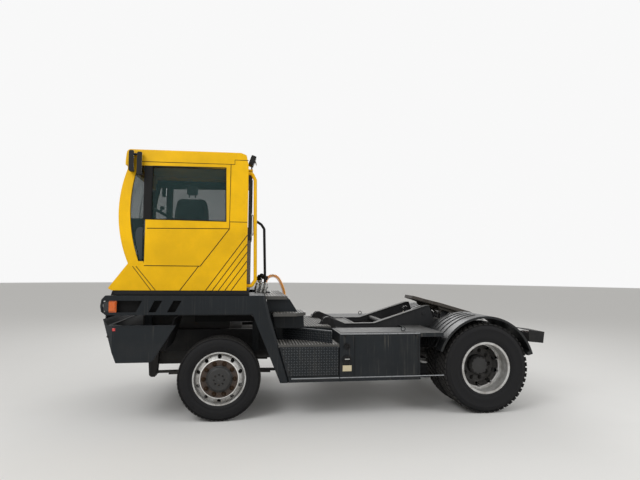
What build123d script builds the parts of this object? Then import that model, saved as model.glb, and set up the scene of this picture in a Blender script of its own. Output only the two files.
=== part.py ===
from build123d import *
import math
import os

os.makedirs("parts", exist_ok=True)

# Frame: +X to the rear, +Y to the vehicle's right, +Z up, ground at Z 0, millimetres.
# The origin lies on the ground below the middle of the vehicle.

# Whole vehicle
FRONT_OVERHANG = 1225
WHEELBASE = 3050
REAR_OVERHANG = 925
HALF_WIDTH = 1250
NOSE_X = -(FRONT_OVERHANG + WHEELBASE + REAR_OVERHANG) / 2
TAIL_X = -NOSE_X
FRONT_AXLE_X = NOSE_X + FRONT_OVERHANG
REAR_AXLE_X = FRONT_AXLE_X + WHEELBASE

# Axles and tyres
FRONT_TYRE_R = 450
REAR_TYRE_R = 515
FRONT_TYRE_W = 292
REAR_TYRE_W = 272
FRONT_WHEEL_Y = 1040
REAR_OUTER_Y = 1108
TWIN_SPACING = 330
KINGPIN_Y = 880
STEER_ARM = 150

# Rims for 22.5 inch tyres
RIM_FLANGE_R = 298.5
RIM_SEAT_R = 286
RIM_WALL = 14
RIM_HALF_W = 118
DISC_BORE_R = 141
HUB_DRUM_R = 200
SPINDLE_R = 40
RUNNING_FIT = 0.05
SEAT_GAP = 0.3
FREE_GAP = 6

# Ladder frame
RAIL_OUTER_Y = 450
RAIL_FLANGE = 90
RAIL_WEB = 10
RAIL_BOTTOM = 640
RAIL_TOP = 900
RAIL_FRONT_X = NOSE_X + 220
RAIL_REAR_X = TAIL_X - 160

# Cab
CAB_LEFT = -HALF_WIDTH + 30
CAB_RIGHT = CAB_LEFT + 1450
CAB_WALL = 40
CAB_REAR_X = NOSE_X + 1500
CAB_HINGE_X = NOSE_X + 85
GLASS = 6

# Support frames over the front wheels
FENDER_TOP = 1352
FENDER_BOTTOM = 1148
LEG_FOOT = 409
FENDER_DEPTH = 70

# Heights of the cab, which stands on those frames
CAB_BASE = FENDER_TOP + 53
CAB_HINGE_Z = CAB_BASE - 23
CAB_FLOOR = CAB_BASE + 35
CAB_EAVES = CAB_BASE + 1385
CAB_TOP = CAB_EAVES + 140

# Steps and side boxes
BOX_FRONT_X = FRONT_AXLE_X + 1311
BOX_REAR_X = REAR_AXLE_X - 807
BOX_TOP = 930
BOX_BOTTOM = 410
BOX_INNER_Y = 700
PLATFORM_TOP = 1340
TREAD = 40

# Lifting boom and fifth wheel
BOOM_PIVOT_X = BOX_FRONT_X - 6
BOOM_PIVOT_Z = 985
BOOM_PIN_R = 30
BOOM_ARM_Y = (365, 445)
BOOM_BOTTOM = RAIL_TOP + FREE_GAP
LIFT_PIN_X = REAR_AXLE_X - 461
LIFT_PIN_Z = 1086
CYLINDER_FOOT_X = REAR_AXLE_X - 675
CYLINDER_FOOT_Z = 480
CYLINDER_Y = 300
CYLINDER_PIN_R = 28
EYE_DRIFT = 8
PLATE_PIVOT_X = REAR_AXLE_X - 130
PLATE_PIVOT_Z = 1065
PLATE_REST_TILT = 15.8

nodes = {}


def shifted(points, origin):
    """Outline points whose first value is measured from an origin."""
    return [(origin + first, second) for first, second in points]


def block(x, y, z):
    """A block between the low and high value of each axis."""
    spans = (x, y, z)
    size = [high - low for low, high in spans]
    centre = [(high + low) / 2 for low, high in spans]
    return Pos(*centre) * Box(*size)


def side_plate(outline, y):
    """An (x, z) outline made solid between two y values."""
    face = make_face(Polyline(*[(px, y[0], pz) for px, pz in outline], close=True))
    return extrude(face, amount=y[1] - y[0], dir=(0, 1, 0))


def cross_plate(outline, x):
    """A (y, z) outline made solid between two x values."""
    face = make_face(Polyline(*[(x[0], py, pz) for py, pz in outline], close=True))
    return extrude(face, amount=x[1] - x[0], dir=(1, 0, 0))


def plan_plate(outline, z):
    """An (x, y) outline made solid between two heights."""
    face = make_face(Polyline(*[(px, py, z[0]) for px, py in outline], close=True))
    return extrude(face, amount=z[1] - z[0], dir=(0, 0, 1))


def folded_sheet(outline, y, sheet, bevels=(), bevel=0.0):
    """A side sheet with a flange all round, turned in from the first y value to the second.

    Each point in bevels picks the outer edge beside it, which gets a bevel as the sheet's fold.
    """
    depth = y[1] - y[0]
    face = make_face(Polyline(*[(px, y[0], pz) for px, pz in outline], close=True))
    solid = extrude(face, amount=abs(depth), dir=(0, math.copysign(1, depth), 0))
    inner = offset(face, amount=-sheet, kind=Kind.INTERSECTION)
    hollow = extrude(inner, amount=abs(depth), dir=(0, math.copysign(1, depth), 0))
    hollow = Pos(0, math.copysign(sheet, depth), 0) * hollow
    for px, pz in bevels:
        solid = chamfer(solid.edges().sort_by_distance((px, y[0], pz))[0], bevel)
        inner_y = y[0] + math.copysign(sheet, depth)
        inner_edge = hollow.edges().sort_by_distance((px, inner_y, pz))[0]
        hollow = chamfer(inner_edge, bevel - (2 - math.sqrt(2)) * sheet)
    return solid - hollow


def bar(start, end, radius):
    """A round bar between two points."""
    run = Vector(*end) - Vector(*start)
    return extrude(Plane(origin=start, z_dir=run) * Circle(radius), amount=run.length)


def bent_tube(points, radius, bend):
    """A round tube along straight runs joined by arcs."""
    path = FilletPolyline(*points, radius=bend)
    start = Plane(origin=path @ 0, z_dir=path % 0)
    return sweep(start * Circle(radius), path=path)


def turned(profile):
    """A closed (radius, axial) outline turned about the Z axis."""
    face = make_face(Polyline(*[(r, 0, s) for r, s in profile], close=True))
    return revolve(face, axis=Axis.Z)


def on_axle(shape, x, y, z):
    """Stand a turned shape on a wheel axis, its +Z side outward."""
    turn = 90 if y < 0 else -90
    return Pos(x, y, z) * Rot(turn, 0, 0) * shape


def across(shape):
    """The same piece on the other side of the vehicle."""
    return mirror(shape, about=Plane.XZ)


def rounded_plan(outline, z):
    """A plan outline whose points give their corner radius, made solid between two heights."""
    face = make_face(Polyline(*[(px, py, z[0]) for px, py, _ in outline], close=True))
    for px, py, radius in outline:
        if radius:
            corner = face.vertices().sort_by_distance((px, py, z[0]))[0]
            face = fillet(corner, radius)
    return extrude(face, amount=z[1] - z[0], dir=(0, 0, 1))


def both(shape):
    """A piece with its mirror image."""
    return shape + across(shape)


def around(radius, count, start=0.0):
    """Places evenly spaced round the Z axis."""
    for step in range(count):
        angle = math.radians(start + 360 * step / count)
        yield radius * math.cos(angle), radius * math.sin(angle)


# Wheels

def tyre(outer_r, width):
    """A tyre with rounded shoulders, solid from bead to tread."""
    half = width / 2
    bead = RIM_SEAT_R + SEAT_GAP
    profile = [
        (bead, -RIM_HALF_W + 12), (bead + 18, -RIM_HALF_W + 6), (outer_r - 95, -half),
        (outer_r - 45, -half + 4), (outer_r - 10, -half + 16), (outer_r, -half + 34),
        (outer_r, half - 34), (outer_r - 10, half - 16), (outer_r - 45, half - 4),
        (outer_r - 95, half), (bead + 18, RIM_HALF_W - 6), (bead, RIM_HALF_W - 12),
    ]
    return turned(profile)


def rim_barrel():
    """The rim's flanges, bead seats and well."""
    seat = RIM_SEAT_R
    inner = seat - RIM_WALL
    edge = RIM_HALF_W
    profile = [
        (inner, -edge), (RIM_FLANGE_R, -edge), (RIM_FLANGE_R, -edge + 5), (seat, -edge + 12),
        (seat, edge - 12), (RIM_FLANGE_R, edge - 5), (RIM_FLANGE_R, edge), (inner, edge),
    ]
    return turned(profile)


def wheel_disc(profile, hole_r, hole_ring, hole_s):
    """A pressed disc with its ring of hand holes."""
    disc = turned(profile)
    for hx, hy in around(hole_ring, 10, 18):
        disc -= Pos(hx, hy, hole_s) * Cylinder(hole_r, 120)
    return disc


def front_rim():
    """A front rim, its disc bulging outward."""
    wall = RIM_SEAT_R - RIM_WALL + 2
    profile = [
        (wall, 40), (wall, 54), (244, 92), (214, 116), (206, 122), (190, 120),
        (DISC_BORE_R, 120), (DISC_BORE_R, 106), (196, 106), (236, 78), (256, 46),
    ]
    return rim_barrel() + wheel_disc(profile, 22, 236, 80)


def rear_rim(holes=True):
    """A rear rim, its disc dished far inward to the twin's face, with or without its hand holes."""
    wall = RIM_SEAT_R - RIM_WALL + 2
    face = -TWIN_SPACING / 2
    profile = [
        (wall, -46), (wall, -60), (252, -110), (222, face + 6), (206, face), (DISC_BORE_R, face),
        (DISC_BORE_R, face + 13), (200, face + 13), (214, -140), (240, -96), (254, -46),
    ]
    disc = wheel_disc(profile, 24, 236, -110) if holes else turned(profile)
    return rim_barrel() + disc


def front_hub():
    """Drum, flange and cap, bored for the spindle."""
    profile = [
        (SPINDLE_R + RUNNING_FIT, -62), (HUB_DRUM_R - 12, -62), (HUB_DRUM_R - 12, -66),
        (HUB_DRUM_R, -66), (HUB_DRUM_R, 60), (186, 74), (186, 107), (140, 107), (140, 128),
        (132, 132), (128, 150), (112, 164), (0, 168), (0, 92), (SPINDLE_R + RUNNING_FIT, 92),
    ]
    return turned(profile)


def rear_hub():
    """Drum, flange and dome on the centre line of the twin wheels."""
    bore = SPINDLE_R + 10 + RUNNING_FIT
    profile = [
        (bore, -330), (HUB_DRUM_R, -330), (HUB_DRUM_R, -24), (185, -12), (140, -12),
        (140, 16), (118, 22), (118, 96), (100, 122), (0, 128), (0, 70), (bore, 70),
    ]
    return turned(profile)


front_z = FRONT_TYRE_R
rear_z = REAR_TYRE_R
rear_inner_y = REAR_OUTER_Y - TWIN_SPACING
twin_face_y = REAR_OUTER_Y - TWIN_SPACING / 2
rear_inner_rim = mirror(rear_rim(holes=False), about=Plane.XY)

for side, sign in (("left", -1), ("right", 1)):
    front_place = (FRONT_AXLE_X, sign * FRONT_WHEEL_Y, front_z)
    outer_place = (REAR_AXLE_X, sign * REAR_OUTER_Y, rear_z)
    inner_place = (REAR_AXLE_X, sign * rear_inner_y, rear_z)
    nodes[f"front_{side}_tyre"] = on_axle(tyre(FRONT_TYRE_R, FRONT_TYRE_W), *front_place)
    nodes[f"front_{side}_wheel"] = on_axle(front_rim() + front_hub(), *front_place)
    rear_tyre = tyre(REAR_TYRE_R, REAR_TYRE_W)
    nodes[f"rear_{side}_tyres"] = on_axle(rear_tyre, *outer_place) + on_axle(rear_tyre, *inner_place)
    hub_place = (REAR_AXLE_X, sign * twin_face_y, rear_z)
    nodes[f"rear_{side}_wheels"] = (on_axle(rear_rim(), *outer_place) + on_axle(rear_inner_rim, *inner_place)
                                    + on_axle(rear_hub(), *hub_place))

# Front axle and steering

YOKE_H = 40
EYE_HALF = 58
EYE_R = 44
KINGPIN_R = 22
AXLE_SEAT_Z = 355
AXLE_BEAM_H = 110
WEB_IN = 60
WEB_OUT = 88
TIE_ROD_Z = 318
TIE_ROD_R = 18
BALL_PIN_R = 12


def axle_beam():
    """A dropped I-beam with an eye and a kingpin at each end."""
    low = AXLE_SEAT_Z - AXLE_BEAM_H
    eye_low = front_z - EYE_HALF
    eye_high = front_z + EYE_HALF
    outline = [
        (-KINGPIN_Y, eye_low), (-800, eye_low), (-560, low), (560, low), (800, eye_low),
        (KINGPIN_Y, eye_low), (KINGPIN_Y, eye_high),
        (800, eye_high), (540, AXLE_SEAT_Z), (-540, AXLE_SEAT_Z), (-800, eye_high), (-KINGPIN_Y, eye_high),
    ]
    beam = cross_plate(outline, (FRONT_AXLE_X - 40, FRONT_AXLE_X + 40))
    groove = [(-800, front_z - 20), (-552, low + 28), (552, low + 28), (800, front_z - 20),
              (772, front_z + 20), (534, AXLE_SEAT_Z - 26), (-534, AXLE_SEAT_Z - 26), (-772, front_z + 20)]
    for x0, x1 in ((-40, -14), (14, 40)):
        beam -= cross_plate(groove, (FRONT_AXLE_X + x0, FRONT_AXLE_X + x1))
    for y in (-KINGPIN_Y, KINGPIN_Y):
        beam += Pos(FRONT_AXLE_X, y, front_z) * Cylinder(EYE_R, 2 * EYE_HALF)
        beam += Pos(FRONT_AXLE_X, y, front_z) * Cylinder(KINGPIN_R, 2 * (EYE_HALF + YOKE_H + FREE_GAP + 4))
    return beam


def knuckle():
    """The left knuckle: a yoke round the kingpin, the wheel spindle and the steering arm."""
    x, y, z = FRONT_AXLE_X, -KINGPIN_Y, front_z
    piece = block((x - 55, x + 55), (y - WEB_OUT, y - WEB_IN), (z - EYE_HALF - YOKE_H, z + EYE_HALF + YOKE_H))
    for low in (z + EYE_HALF + FREE_GAP, z - EYE_HALF - FREE_GAP - YOKE_H):
        high = low + YOKE_H
        arm = Pos(x, y, (low + high) / 2) * Cylinder(EYE_R, YOKE_H)
        arm += block((x - EYE_R, x + EYE_R), (y - WEB_IN - 2, y), (low, high))
        piece += arm
    low = z - EYE_HALF - FREE_GAP - YOKE_H
    piece += block((x, x + STEER_ARM), (y - 24, y + 24), (low, low + 30))
    piece += Pos(x + STEER_ARM, y, low + 15) * Cylinder(24, 30)
    piece += Pos(x + STEER_ARM, y, (low + TIE_ROD_Z - 20) / 2) * Cylinder(BALL_PIN_R, low - TIE_ROD_Z + 20)
    piece -= Pos(x, y, z) * Cylinder(KINGPIN_R + RUNNING_FIT, 2 * (EYE_HALF + YOKE_H + FREE_GAP + 20))
    piece += bar((x, y - WEB_OUT + 1, z), (x, -FRONT_WHEEL_Y - 90, z), SPINDLE_R)
    piece += bar((x, y - WEB_OUT + 1, z), (x, y - WEB_OUT - 6, z), HUB_DRUM_R - 20)
    return piece


def tie_rod():
    """The rod that joins the two steering arms, an eye at each end."""
    x = FRONT_AXLE_X + STEER_ARM
    rod = bar((x, -KINGPIN_Y, TIE_ROD_Z), (x, KINGPIN_Y, TIE_ROD_Z), TIE_ROD_R)
    for y in (-KINGPIN_Y, KINGPIN_Y):
        rod += Pos(x, y, TIE_ROD_Z) * Cylinder(28, 2 * TIE_ROD_R + 8)
        rod -= Pos(x, y, TIE_ROD_Z) * Cylinder(BALL_PIN_R + RUNNING_FIT, 4 * TIE_ROD_R)
    return rod


SPRING_Y = (410, 490)
SPRING_EYE_Z = 400
SPRING_FRONT_X = FRONT_AXLE_X - 810
SPRING_REAR_X = FRONT_AXLE_X + 750
LEAF = 20


def leaf_spring():
    """One pack of three leaves with rolled eyes and its U-bolt plate."""
    pack = None
    for count, reach in enumerate((1.0, 0.78, 0.56)):
        low = AXLE_SEAT_Z + 4 + LEAF * (2 - count)
        rise = SPRING_EYE_Z - AXLE_SEAT_Z - 4 - 2 * LEAF - LEAF / 2
        front = (SPRING_FRONT_X - FRONT_AXLE_X) * reach
        rear = (SPRING_REAR_X - FRONT_AXLE_X) * reach
        x = FRONT_AXLE_X
        leaf = side_plate([
            (x + front, low + rise * reach), (x - 90, low), (x + 90, low), (x + rear, low + rise * reach),
            (x + rear, low + LEAF + rise * reach), (x + 90, low + LEAF), (x - 90, low + LEAF),
            (x + front, low + LEAF + rise * reach),
        ], SPRING_Y)
        pack = leaf if pack is None else pack + leaf
    for x in (SPRING_FRONT_X, SPRING_REAR_X):
        pack += bar((x, SPRING_Y[0], SPRING_EYE_Z), (x, SPRING_Y[1], SPRING_EYE_Z), 26)
        pack -= bar((x, SPRING_Y[0] - 1, SPRING_EYE_Z), (x, SPRING_Y[1] + 1, SPRING_EYE_Z), 14)
    pack += block((FRONT_AXLE_X - 70, FRONT_AXLE_X + 70), (SPRING_Y[0] - 12, SPRING_Y[1] + 12),
                  (AXLE_SEAT_Z + SEAT_GAP, AXLE_SEAT_Z + 6))
    pack += block((FRONT_AXLE_X - 70, FRONT_AXLE_X + 70), (SPRING_Y[0] - 12, SPRING_Y[1] + 12),
                  (AXLE_SEAT_Z + 60, AXLE_SEAT_Z + 84))
    return pack


def spring_hangers():
    """A bracket under the rail at each end of the spring, its ears round the eye."""
    piece = None
    for x in (SPRING_FRONT_X, SPRING_REAR_X):
        top = RAIL_BOTTOM
        outline = [(x - 62, top), (x - 44, SPRING_EYE_Z - 30), (x - 20, SPRING_EYE_Z - 50),
                   (x + 20, SPRING_EYE_Z - 50), (x + 44, SPRING_EYE_Z - 30), (x + 62, top)]
        ears = side_plate(outline, (SPRING_Y[0] - 14, SPRING_Y[1] + 14))
        ears -= block((x - 90, x + 90), (SPRING_Y[0] - 2, SPRING_Y[1] + 2),
                      (SPRING_EYE_Z - 90, SPRING_EYE_Z + 90))
        ears += bar((x, SPRING_Y[0] - 14, SPRING_EYE_Z), (x, SPRING_Y[1] + 14, SPRING_EYE_Z), 14 - SEAT_GAP)
        piece = ears if piece is None else piece + ears
    return piece


nodes["front_axle_beam"] = axle_beam()
nodes["steering_knuckle_left"] = knuckle()
nodes["steering_knuckle_right"] = across(knuckle())
nodes["tie_rod"] = tie_rod()
nodes["front_leaf_springs"] = both(leaf_spring())

# Rear axle

AXLE_TUBE_R = 78
DIFF_R = 205
DIFF_NOSE_R = 62


def rear_axle():
    """A bowl-shaped differential housing between two axle tubes, with spindles and rail blocks."""
    x, z = REAR_AXLE_X, rear_z
    housing = turned([(0, -150), (110, -150), (190, -90), (DIFF_R, -20), (DIFF_R, 20), (190, 90), (110, 150),
                      (0, 150)])
    axle = Pos(x, 0, z) * Rot(0, 90, 0) * housing
    axle += bar((x, -590, z), (x, 590, z), AXLE_TUBE_R)
    spindle_end = twin_face_y + 60
    axle += bar((x, -spindle_end, z), (x, spindle_end, z), SPINDLE_R + 10)
    axle += bar((x - 260, 0, z), (x, 0, z), DIFF_NOSE_R)
    for y in (-405, 405):
        axle += block((x - 90, x + 90), (y - 45, y + 45), (z + 40, RAIL_BOTTOM))
    return axle


nodes["rear_axle"] = rear_axle()

# Ladder frame


def rail():
    """The right-hand channel rail, open to the middle."""
    y0 = RAIL_OUTER_Y - RAIL_FLANGE
    section = [
        (y0, RAIL_BOTTOM), (RAIL_OUTER_Y, RAIL_BOTTOM), (RAIL_OUTER_Y, RAIL_TOP), (y0, RAIL_TOP),
        (y0, RAIL_TOP - RAIL_WEB), (RAIL_OUTER_Y - RAIL_WEB, RAIL_TOP - RAIL_WEB),
        (RAIL_OUTER_Y - RAIL_WEB, RAIL_BOTTOM + RAIL_WEB), (y0, RAIL_BOTTOM + RAIL_WEB),
    ]
    return cross_plate(section, (RAIL_FRONT_X, RAIL_REAR_X))


ENGINE_FRONT_X = RAIL_FRONT_X + 130
ENGINE_REAR_X = ENGINE_FRONT_X + 950
ENGINE_MOUNT_X = (ENGINE_FRONT_X + 250, ENGINE_REAR_X - 160)
GEARBOX_REAR_X = ENGINE_REAR_X + 600

# Place along the frame, and the height of the arch over the prop shaft
CROSSMEMBERS = [
    (RAIL_FRONT_X + 50, 0), (GEARBOX_REAR_X + 60, 800), (BOOM_PIVOT_X + 130, 760), (REAR_AXLE_X - 840, 0),
    (REAR_AXLE_X - 385, 0), (RAIL_REAR_X - 45, 0),
]
MEMBER_INSET = 20
MEMBER_HALF = 45
MOUNT_Z = (700, 780)
ENGINE_GAP = 30
ENGINE_HALF_W = RAIL_OUTER_Y - RAIL_FLANGE - ENGINE_GAP


def ladder_frame():
    """Two rails with channel crossmembers and engine mounts bolted between their webs."""
    frame = both(rail())
    inner = RAIL_OUTER_Y - RAIL_WEB - SEAT_GAP
    for x in ENGINE_MOUNT_X:
        frame += both(block((x - 40, x + 40), (-inner, -ENGINE_HALF_W - SEAT_GAP), MOUNT_Z))
    low = RAIL_BOTTOM + MEMBER_INSET
    high = RAIL_TOP - MEMBER_INSET
    for x, arch in CROSSMEMBERS:
        member = block((x - MEMBER_HALF, x + MEMBER_HALF), (-inner, inner), (low, high))
        member -= block((x - MEMBER_HALF - 1, x + MEMBER_HALF - 8), (-inner + 20, inner - 20),
                        (low + 8, high - 8))
        if arch:
            member -= block((x - MEMBER_HALF - 1, x + MEMBER_HALF + 1), (-120, 120), (RAIL_BOTTOM, arch))
        frame += member
    return frame


def pivot_brackets():
    """Ears on the rails with a pin for each boom arm."""
    x, z = BOOM_PIVOT_X, BOOM_PIVOT_Z
    piece = None
    outline = [(x - 110, RAIL_TOP), (x - 60, z + 30), (x - 30, z + 55), (x + 30, z + 55), (x + 60, z + 30),
               (x + 110, RAIL_TOP)]
    low, high = BOOM_ARM_Y
    for y0, y1 in ((low - 18, low - 4), (high + 4, high + 18)):
        ear = side_plate(outline, (y0, y1))
        piece = ear if piece is None else piece + ear
    piece += bar((x, low - 18, z), (x, high + 18, z), BOOM_PIN_R)
    return piece


def cylinder_brackets():
    """Hangers inside the rails that carry the lift cylinders' foot pins."""
    x, z = CYLINDER_FOOT_X, CYLINDER_FOOT_Z
    outline = [(x - 120, RAIL_TOP - 40), (x - 120, RAIL_BOTTOM + 20), (x - 45, z - 20), (x - 20, z - 45),
               (x + 20, z - 45), (x + 45, z - 20), (x + 30, z + 40), (x - 60, RAIL_TOP - 40)]
    piece = None
    for y0, y1 in ((CYLINDER_Y - 59, CYLINDER_Y - 49), (CYLINDER_Y + 49, CYLINDER_Y + 59)):
        ear = side_plate(outline, (y0, y1))
        piece = ear if piece is None else piece + ear
    return piece + bar((x, CYLINDER_Y - 59, z), (x, CYLINDER_Y + 59, z), CYLINDER_PIN_R)


nodes["ladder_frame"] = ladder_frame()
nodes["frame_brackets"] = both(spring_hangers()) + both(pivot_brackets()) + both(cylinder_brackets())

# Engine and driveline

CRANK_Z = 690
ENGINE_Z = (470, 1130)
GEARBOX_R = 210
RADIATOR_X = (RAIL_FRONT_X + 35, RAIL_FRONT_X + 115)
RADIATOR_HALF_W = 350
RADIATOR_TOP = 1325
SHAFT_R = 45
SHAFT_FLANGE_R = 62
SHAFT_FLANGE = 18
PINION_X = REAR_AXLE_X - 260

nodes["engine_block"] = block((ENGINE_FRONT_X, ENGINE_REAR_X), (-ENGINE_HALF_W, ENGINE_HALF_W), ENGINE_Z)
gearbox = bar((ENGINE_REAR_X, 0, CRANK_Z), (GEARBOX_REAR_X, 0, CRANK_Z), GEARBOX_R)
gearbox += bar((ENGINE_REAR_X, 0, CRANK_Z), (ENGINE_REAR_X + 150, 0, CRANK_Z), GEARBOX_R + 50)
nodes["radiator"] = block(RADIATOR_X, (-RADIATOR_HALF_W, RADIATOR_HALF_W),
                          (RAIL_TOP - MEMBER_INSET, RADIATOR_TOP))


def prop_shaft():
    """The shaft from the gearbox to the rear axle, a flange at each end."""
    start = (GEARBOX_REAR_X + SEAT_GAP, 0, CRANK_Z)
    end = (PINION_X, 0, rear_z)
    near = (GEARBOX_REAR_X + SHAFT_FLANGE, 0, CRANK_Z)
    far = (PINION_X - SHAFT_FLANGE, 0, rear_z)
    return bar(near, far, SHAFT_R) + bar(start, near, SHAFT_FLANGE_R) + bar(far, end, SHAFT_FLANGE_R)


nodes["driveline"] = gearbox + prop_shaft()

# Front of the chassis

SHEET = 8
BUMPER_TIP = 1098
BUMPER_TOP = 1038
BUMPER_BOTTOM = 655
BUMPER_LEAN = 172 / 443
BUMPER_CORNER = 130
BUMPER_FLANGE = 50
BUMPER_REAR_X = NOSE_X + 766
LAMP_Y = 900
LAMP_Z = 868
LAMP_R = 88


def sloping_front(z):
    """X of the bumper's leaning front sheet at a height."""
    return NOSE_X + (BUMPER_TIP - z) * BUMPER_LEAN


def bumper_form(inset):
    """The bumper's outer form, with every face moved in by the inset."""
    slope = math.hypot(1, BUMPER_LEAN) * inset
    tip = BUMPER_TIP - 2 * inset
    foot = BUMPER_BOTTOM + inset
    outline = [
        (sloping_front(tip) + slope, tip), (NOSE_X + 67, BUMPER_TOP - inset),
        (BUMPER_REAR_X - inset, BUMPER_TOP - inset), (BUMPER_REAR_X - 222 - 1.2 * inset, BUMPER_BOTTOM + 22),
        (BUMPER_REAR_X - 254 - inset, foot), (sloping_front(foot) + slope, foot),
    ]
    side = HALF_WIDTH - inset
    form = side_plate(outline, (-side, side))
    cut = BUMPER_CORNER - (2 - math.sqrt(2)) * inset
    cut_end = NOSE_X + inset + cut
    corner = plan_plate([(NOSE_X - 1, -side - 1), (cut_end, -side - 1), (NOSE_X - 1, -side + inset + cut)],
                        (BUMPER_BOTTOM - 1, BUMPER_TIP + 1))
    return form - corner - across(corner)


def front_bumper():
    """A folded sheet bumper: leaning front, cut corners and side sheets that taper to the rear."""
    shell = bumper_form(0) - bumper_form(SHEET)
    back = [
        (sloping_front(BUMPER_TOP) + 2 * SHEET, BUMPER_TOP - SHEET), (NOSE_X + 100, BUMPER_TOP - SHEET),
        (NOSE_X + 100, BUMPER_TIP), (BUMPER_REAR_X + 34, BUMPER_TIP), (BUMPER_REAR_X + 34, BUMPER_BOTTOM - 1),
        (sloping_front(BUMPER_BOTTOM) + 2 * SHEET, BUMPER_BOTTOM - 1),
    ]
    open_y = HALF_WIDTH - BUMPER_FLANGE
    shell -= side_plate(back, (-open_y, open_y)) - both(corner_web())
    bracket = block((RAIL_FRONT_X - 90, RAIL_FRONT_X + 70), (-RAIL_OUTER_Y - 12, -RAIL_OUTER_Y), (700, 860))
    shell += both(bracket)
    lamp_x = sloping_front(LAMP_Z)
    hole = bar((lamp_x - 60, -LAMP_Y, LAMP_Z), (lamp_x + 60, -LAMP_Y, LAMP_Z), LAMP_R + SEAT_GAP)
    return shell - both(hole)


def corner_web():
    """The corner facet's own sheet behind the side opening."""
    reach = BUMPER_CORNER + SHEET
    return plan_plate([(NOSE_X, -HALF_WIDTH), (NOSE_X + reach, -HALF_WIDTH), (NOSE_X + reach + 60, -HALF_WIDTH + 60),
                       (NOSE_X + 60, -HALF_WIDTH + reach + 60)], (BUMPER_BOTTOM, BUMPER_TIP))


nodes["front_bumper"] = front_bumper()

# Support frames over the front wheels

FENDER_NOSE = [(48, FENDER_TOP), (12, 1312), (2, 1245), (12, 1184), (60, FENDER_BOTTOM)]
FENDER_LEG = [(346, FENDER_BOTTOM), (654, LEG_FOOT), (747, LEG_FOOT), (740, 464), (534, 1131),
              (479, FENDER_TOP)]
FENDER_OUTLINE = shifted(FENDER_NOSE, NOSE_X) + shifted(FENDER_LEG, FRONT_AXLE_X)
FENDER_SLOTS = [
    # from the nose: top front, top rear, foot rear, foot front
    (26, 418, 357, 26),
    (542, 622, 556, 483),
    (736, 820, 755, 673),
]
SLOT_TOP = 1298
SLOT_FOOT = 1176
INDICATOR_X = (NOSE_X + 34, NOSE_X + 148)
INDICATOR_Z = (1192, 1287)
INDICATOR_PROUD = 3
LEG_EDGE = (FRONT_AXLE_X + 637, 800)
LEG_BEVEL = 26
DECK_FRONT_X = NOSE_X + 120
DECK_REAR_X = FRONT_AXLE_X + 475
DECK_BEAM = 30
DECK_RIB_X = (DECK_FRONT_X + 220, (DECK_FRONT_X + DECK_REAR_X) / 2 + 70, DECK_REAR_X - 80)
POST_X = ((NOSE_X + 300, NOSE_X + 380), (DECK_REAR_X - 120, DECK_REAR_X - 40))


def fender_frame():
    """The left folded frame over the wheel, with its slots, leg, deck sheet and posts."""
    outer = (-HALF_WIDTH, -HALF_WIDTH + FENDER_DEPTH)
    frame = folded_sheet(FENDER_OUTLINE, outer, SHEET, bevels=[LEG_EDGE], bevel=LEG_BEVEL)
    for top_front, top_rear, foot_rear, foot_front in FENDER_SLOTS:
        slot = [(top_front, SLOT_TOP), (top_rear, SLOT_TOP), (foot_rear, SLOT_FOOT), (foot_front, SLOT_FOOT)]
        frame -= side_plate(shifted(slot, NOSE_X), (outer[0] - 1, outer[0] + SHEET + 1))
    deck = block((DECK_FRONT_X, DECK_REAR_X), (outer[1], -RAIL_OUTER_Y), (FENDER_TOP - SHEET, FENDER_TOP))
    for x in DECK_RIB_X:
        deck += block((x - 25, x + 25), (outer[1], -RAIL_OUTER_Y), (FENDER_TOP - DECK_BEAM, FENDER_TOP - SHEET))
    frame += deck
    for span in POST_X:
        frame += block(span, (-RAIL_OUTER_Y - 30, -RAIL_OUTER_Y), (RAIL_BOTTOM, FENDER_TOP - SHEET))
    return frame


def arch_liner():
    """The folded sheet over the left front tyre."""
    outside = [(-585, 760), (-485, 1110), (-425, 1140), (325, 1140), (365, 1110), (615, 520)]
    inside = [(609, 517), (359, 1105), (322, 1134), (-422, 1134), (-480, 1105), (-579, 760)]
    return side_plate(shifted(outside + inside, FRONT_AXLE_X),
                      (-HALF_WIDTH + FENDER_DEPTH, -RAIL_OUTER_Y - 30))


nodes["left_fender_frame"] = fender_frame()
nodes["right_fender_frame"] = across(fender_frame())
nodes["wheel_arch_liners"] = both(arch_liner())

# Front panel, lamps and crossbeam

HINGE_Y = (CAB_LEFT + 220, CAB_RIGHT - 230)
HINGE_PIN_R = 14
HINGE_EAR = [(-40, FENDER_TOP - DECK_BEAM), (-22, CAB_HINGE_Z + 8), (-10, CAB_HINGE_Z + 20),
             (10, CAB_HINGE_Z + 20), (22, CAB_HINGE_Z + 8), (30, FENDER_TOP - DECK_BEAM)]
BEAM_Z = (1240, FENDER_TOP - DECK_BEAM)


def front_crossbeam():
    """The beam behind the nose, with the ears and pins of the cab hinge."""
    reach = HALF_WIDTH - FENDER_DEPTH - SEAT_GAP
    beam = block((NOSE_X + 40, DECK_FRONT_X), (-reach, reach), BEAM_Z)
    end_plate = block((NOSE_X + 54, DECK_FRONT_X - 1), (-reach, -reach + SHEET),
                      (FENDER_BOTTOM + 1, FENDER_TOP - 1))
    beam += both(end_plate)
    for y in HINGE_Y:
        for low in (y - 52, y + 32):
            beam += side_plate(shifted(HINGE_EAR, CAB_HINGE_X), (low, low + 20))
        beam += bar((CAB_HINGE_X, y - 52, CAB_HINGE_Z), (CAB_HINGE_X, y + 52, CAB_HINGE_Z), HINGE_PIN_R)
    return beam


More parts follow.
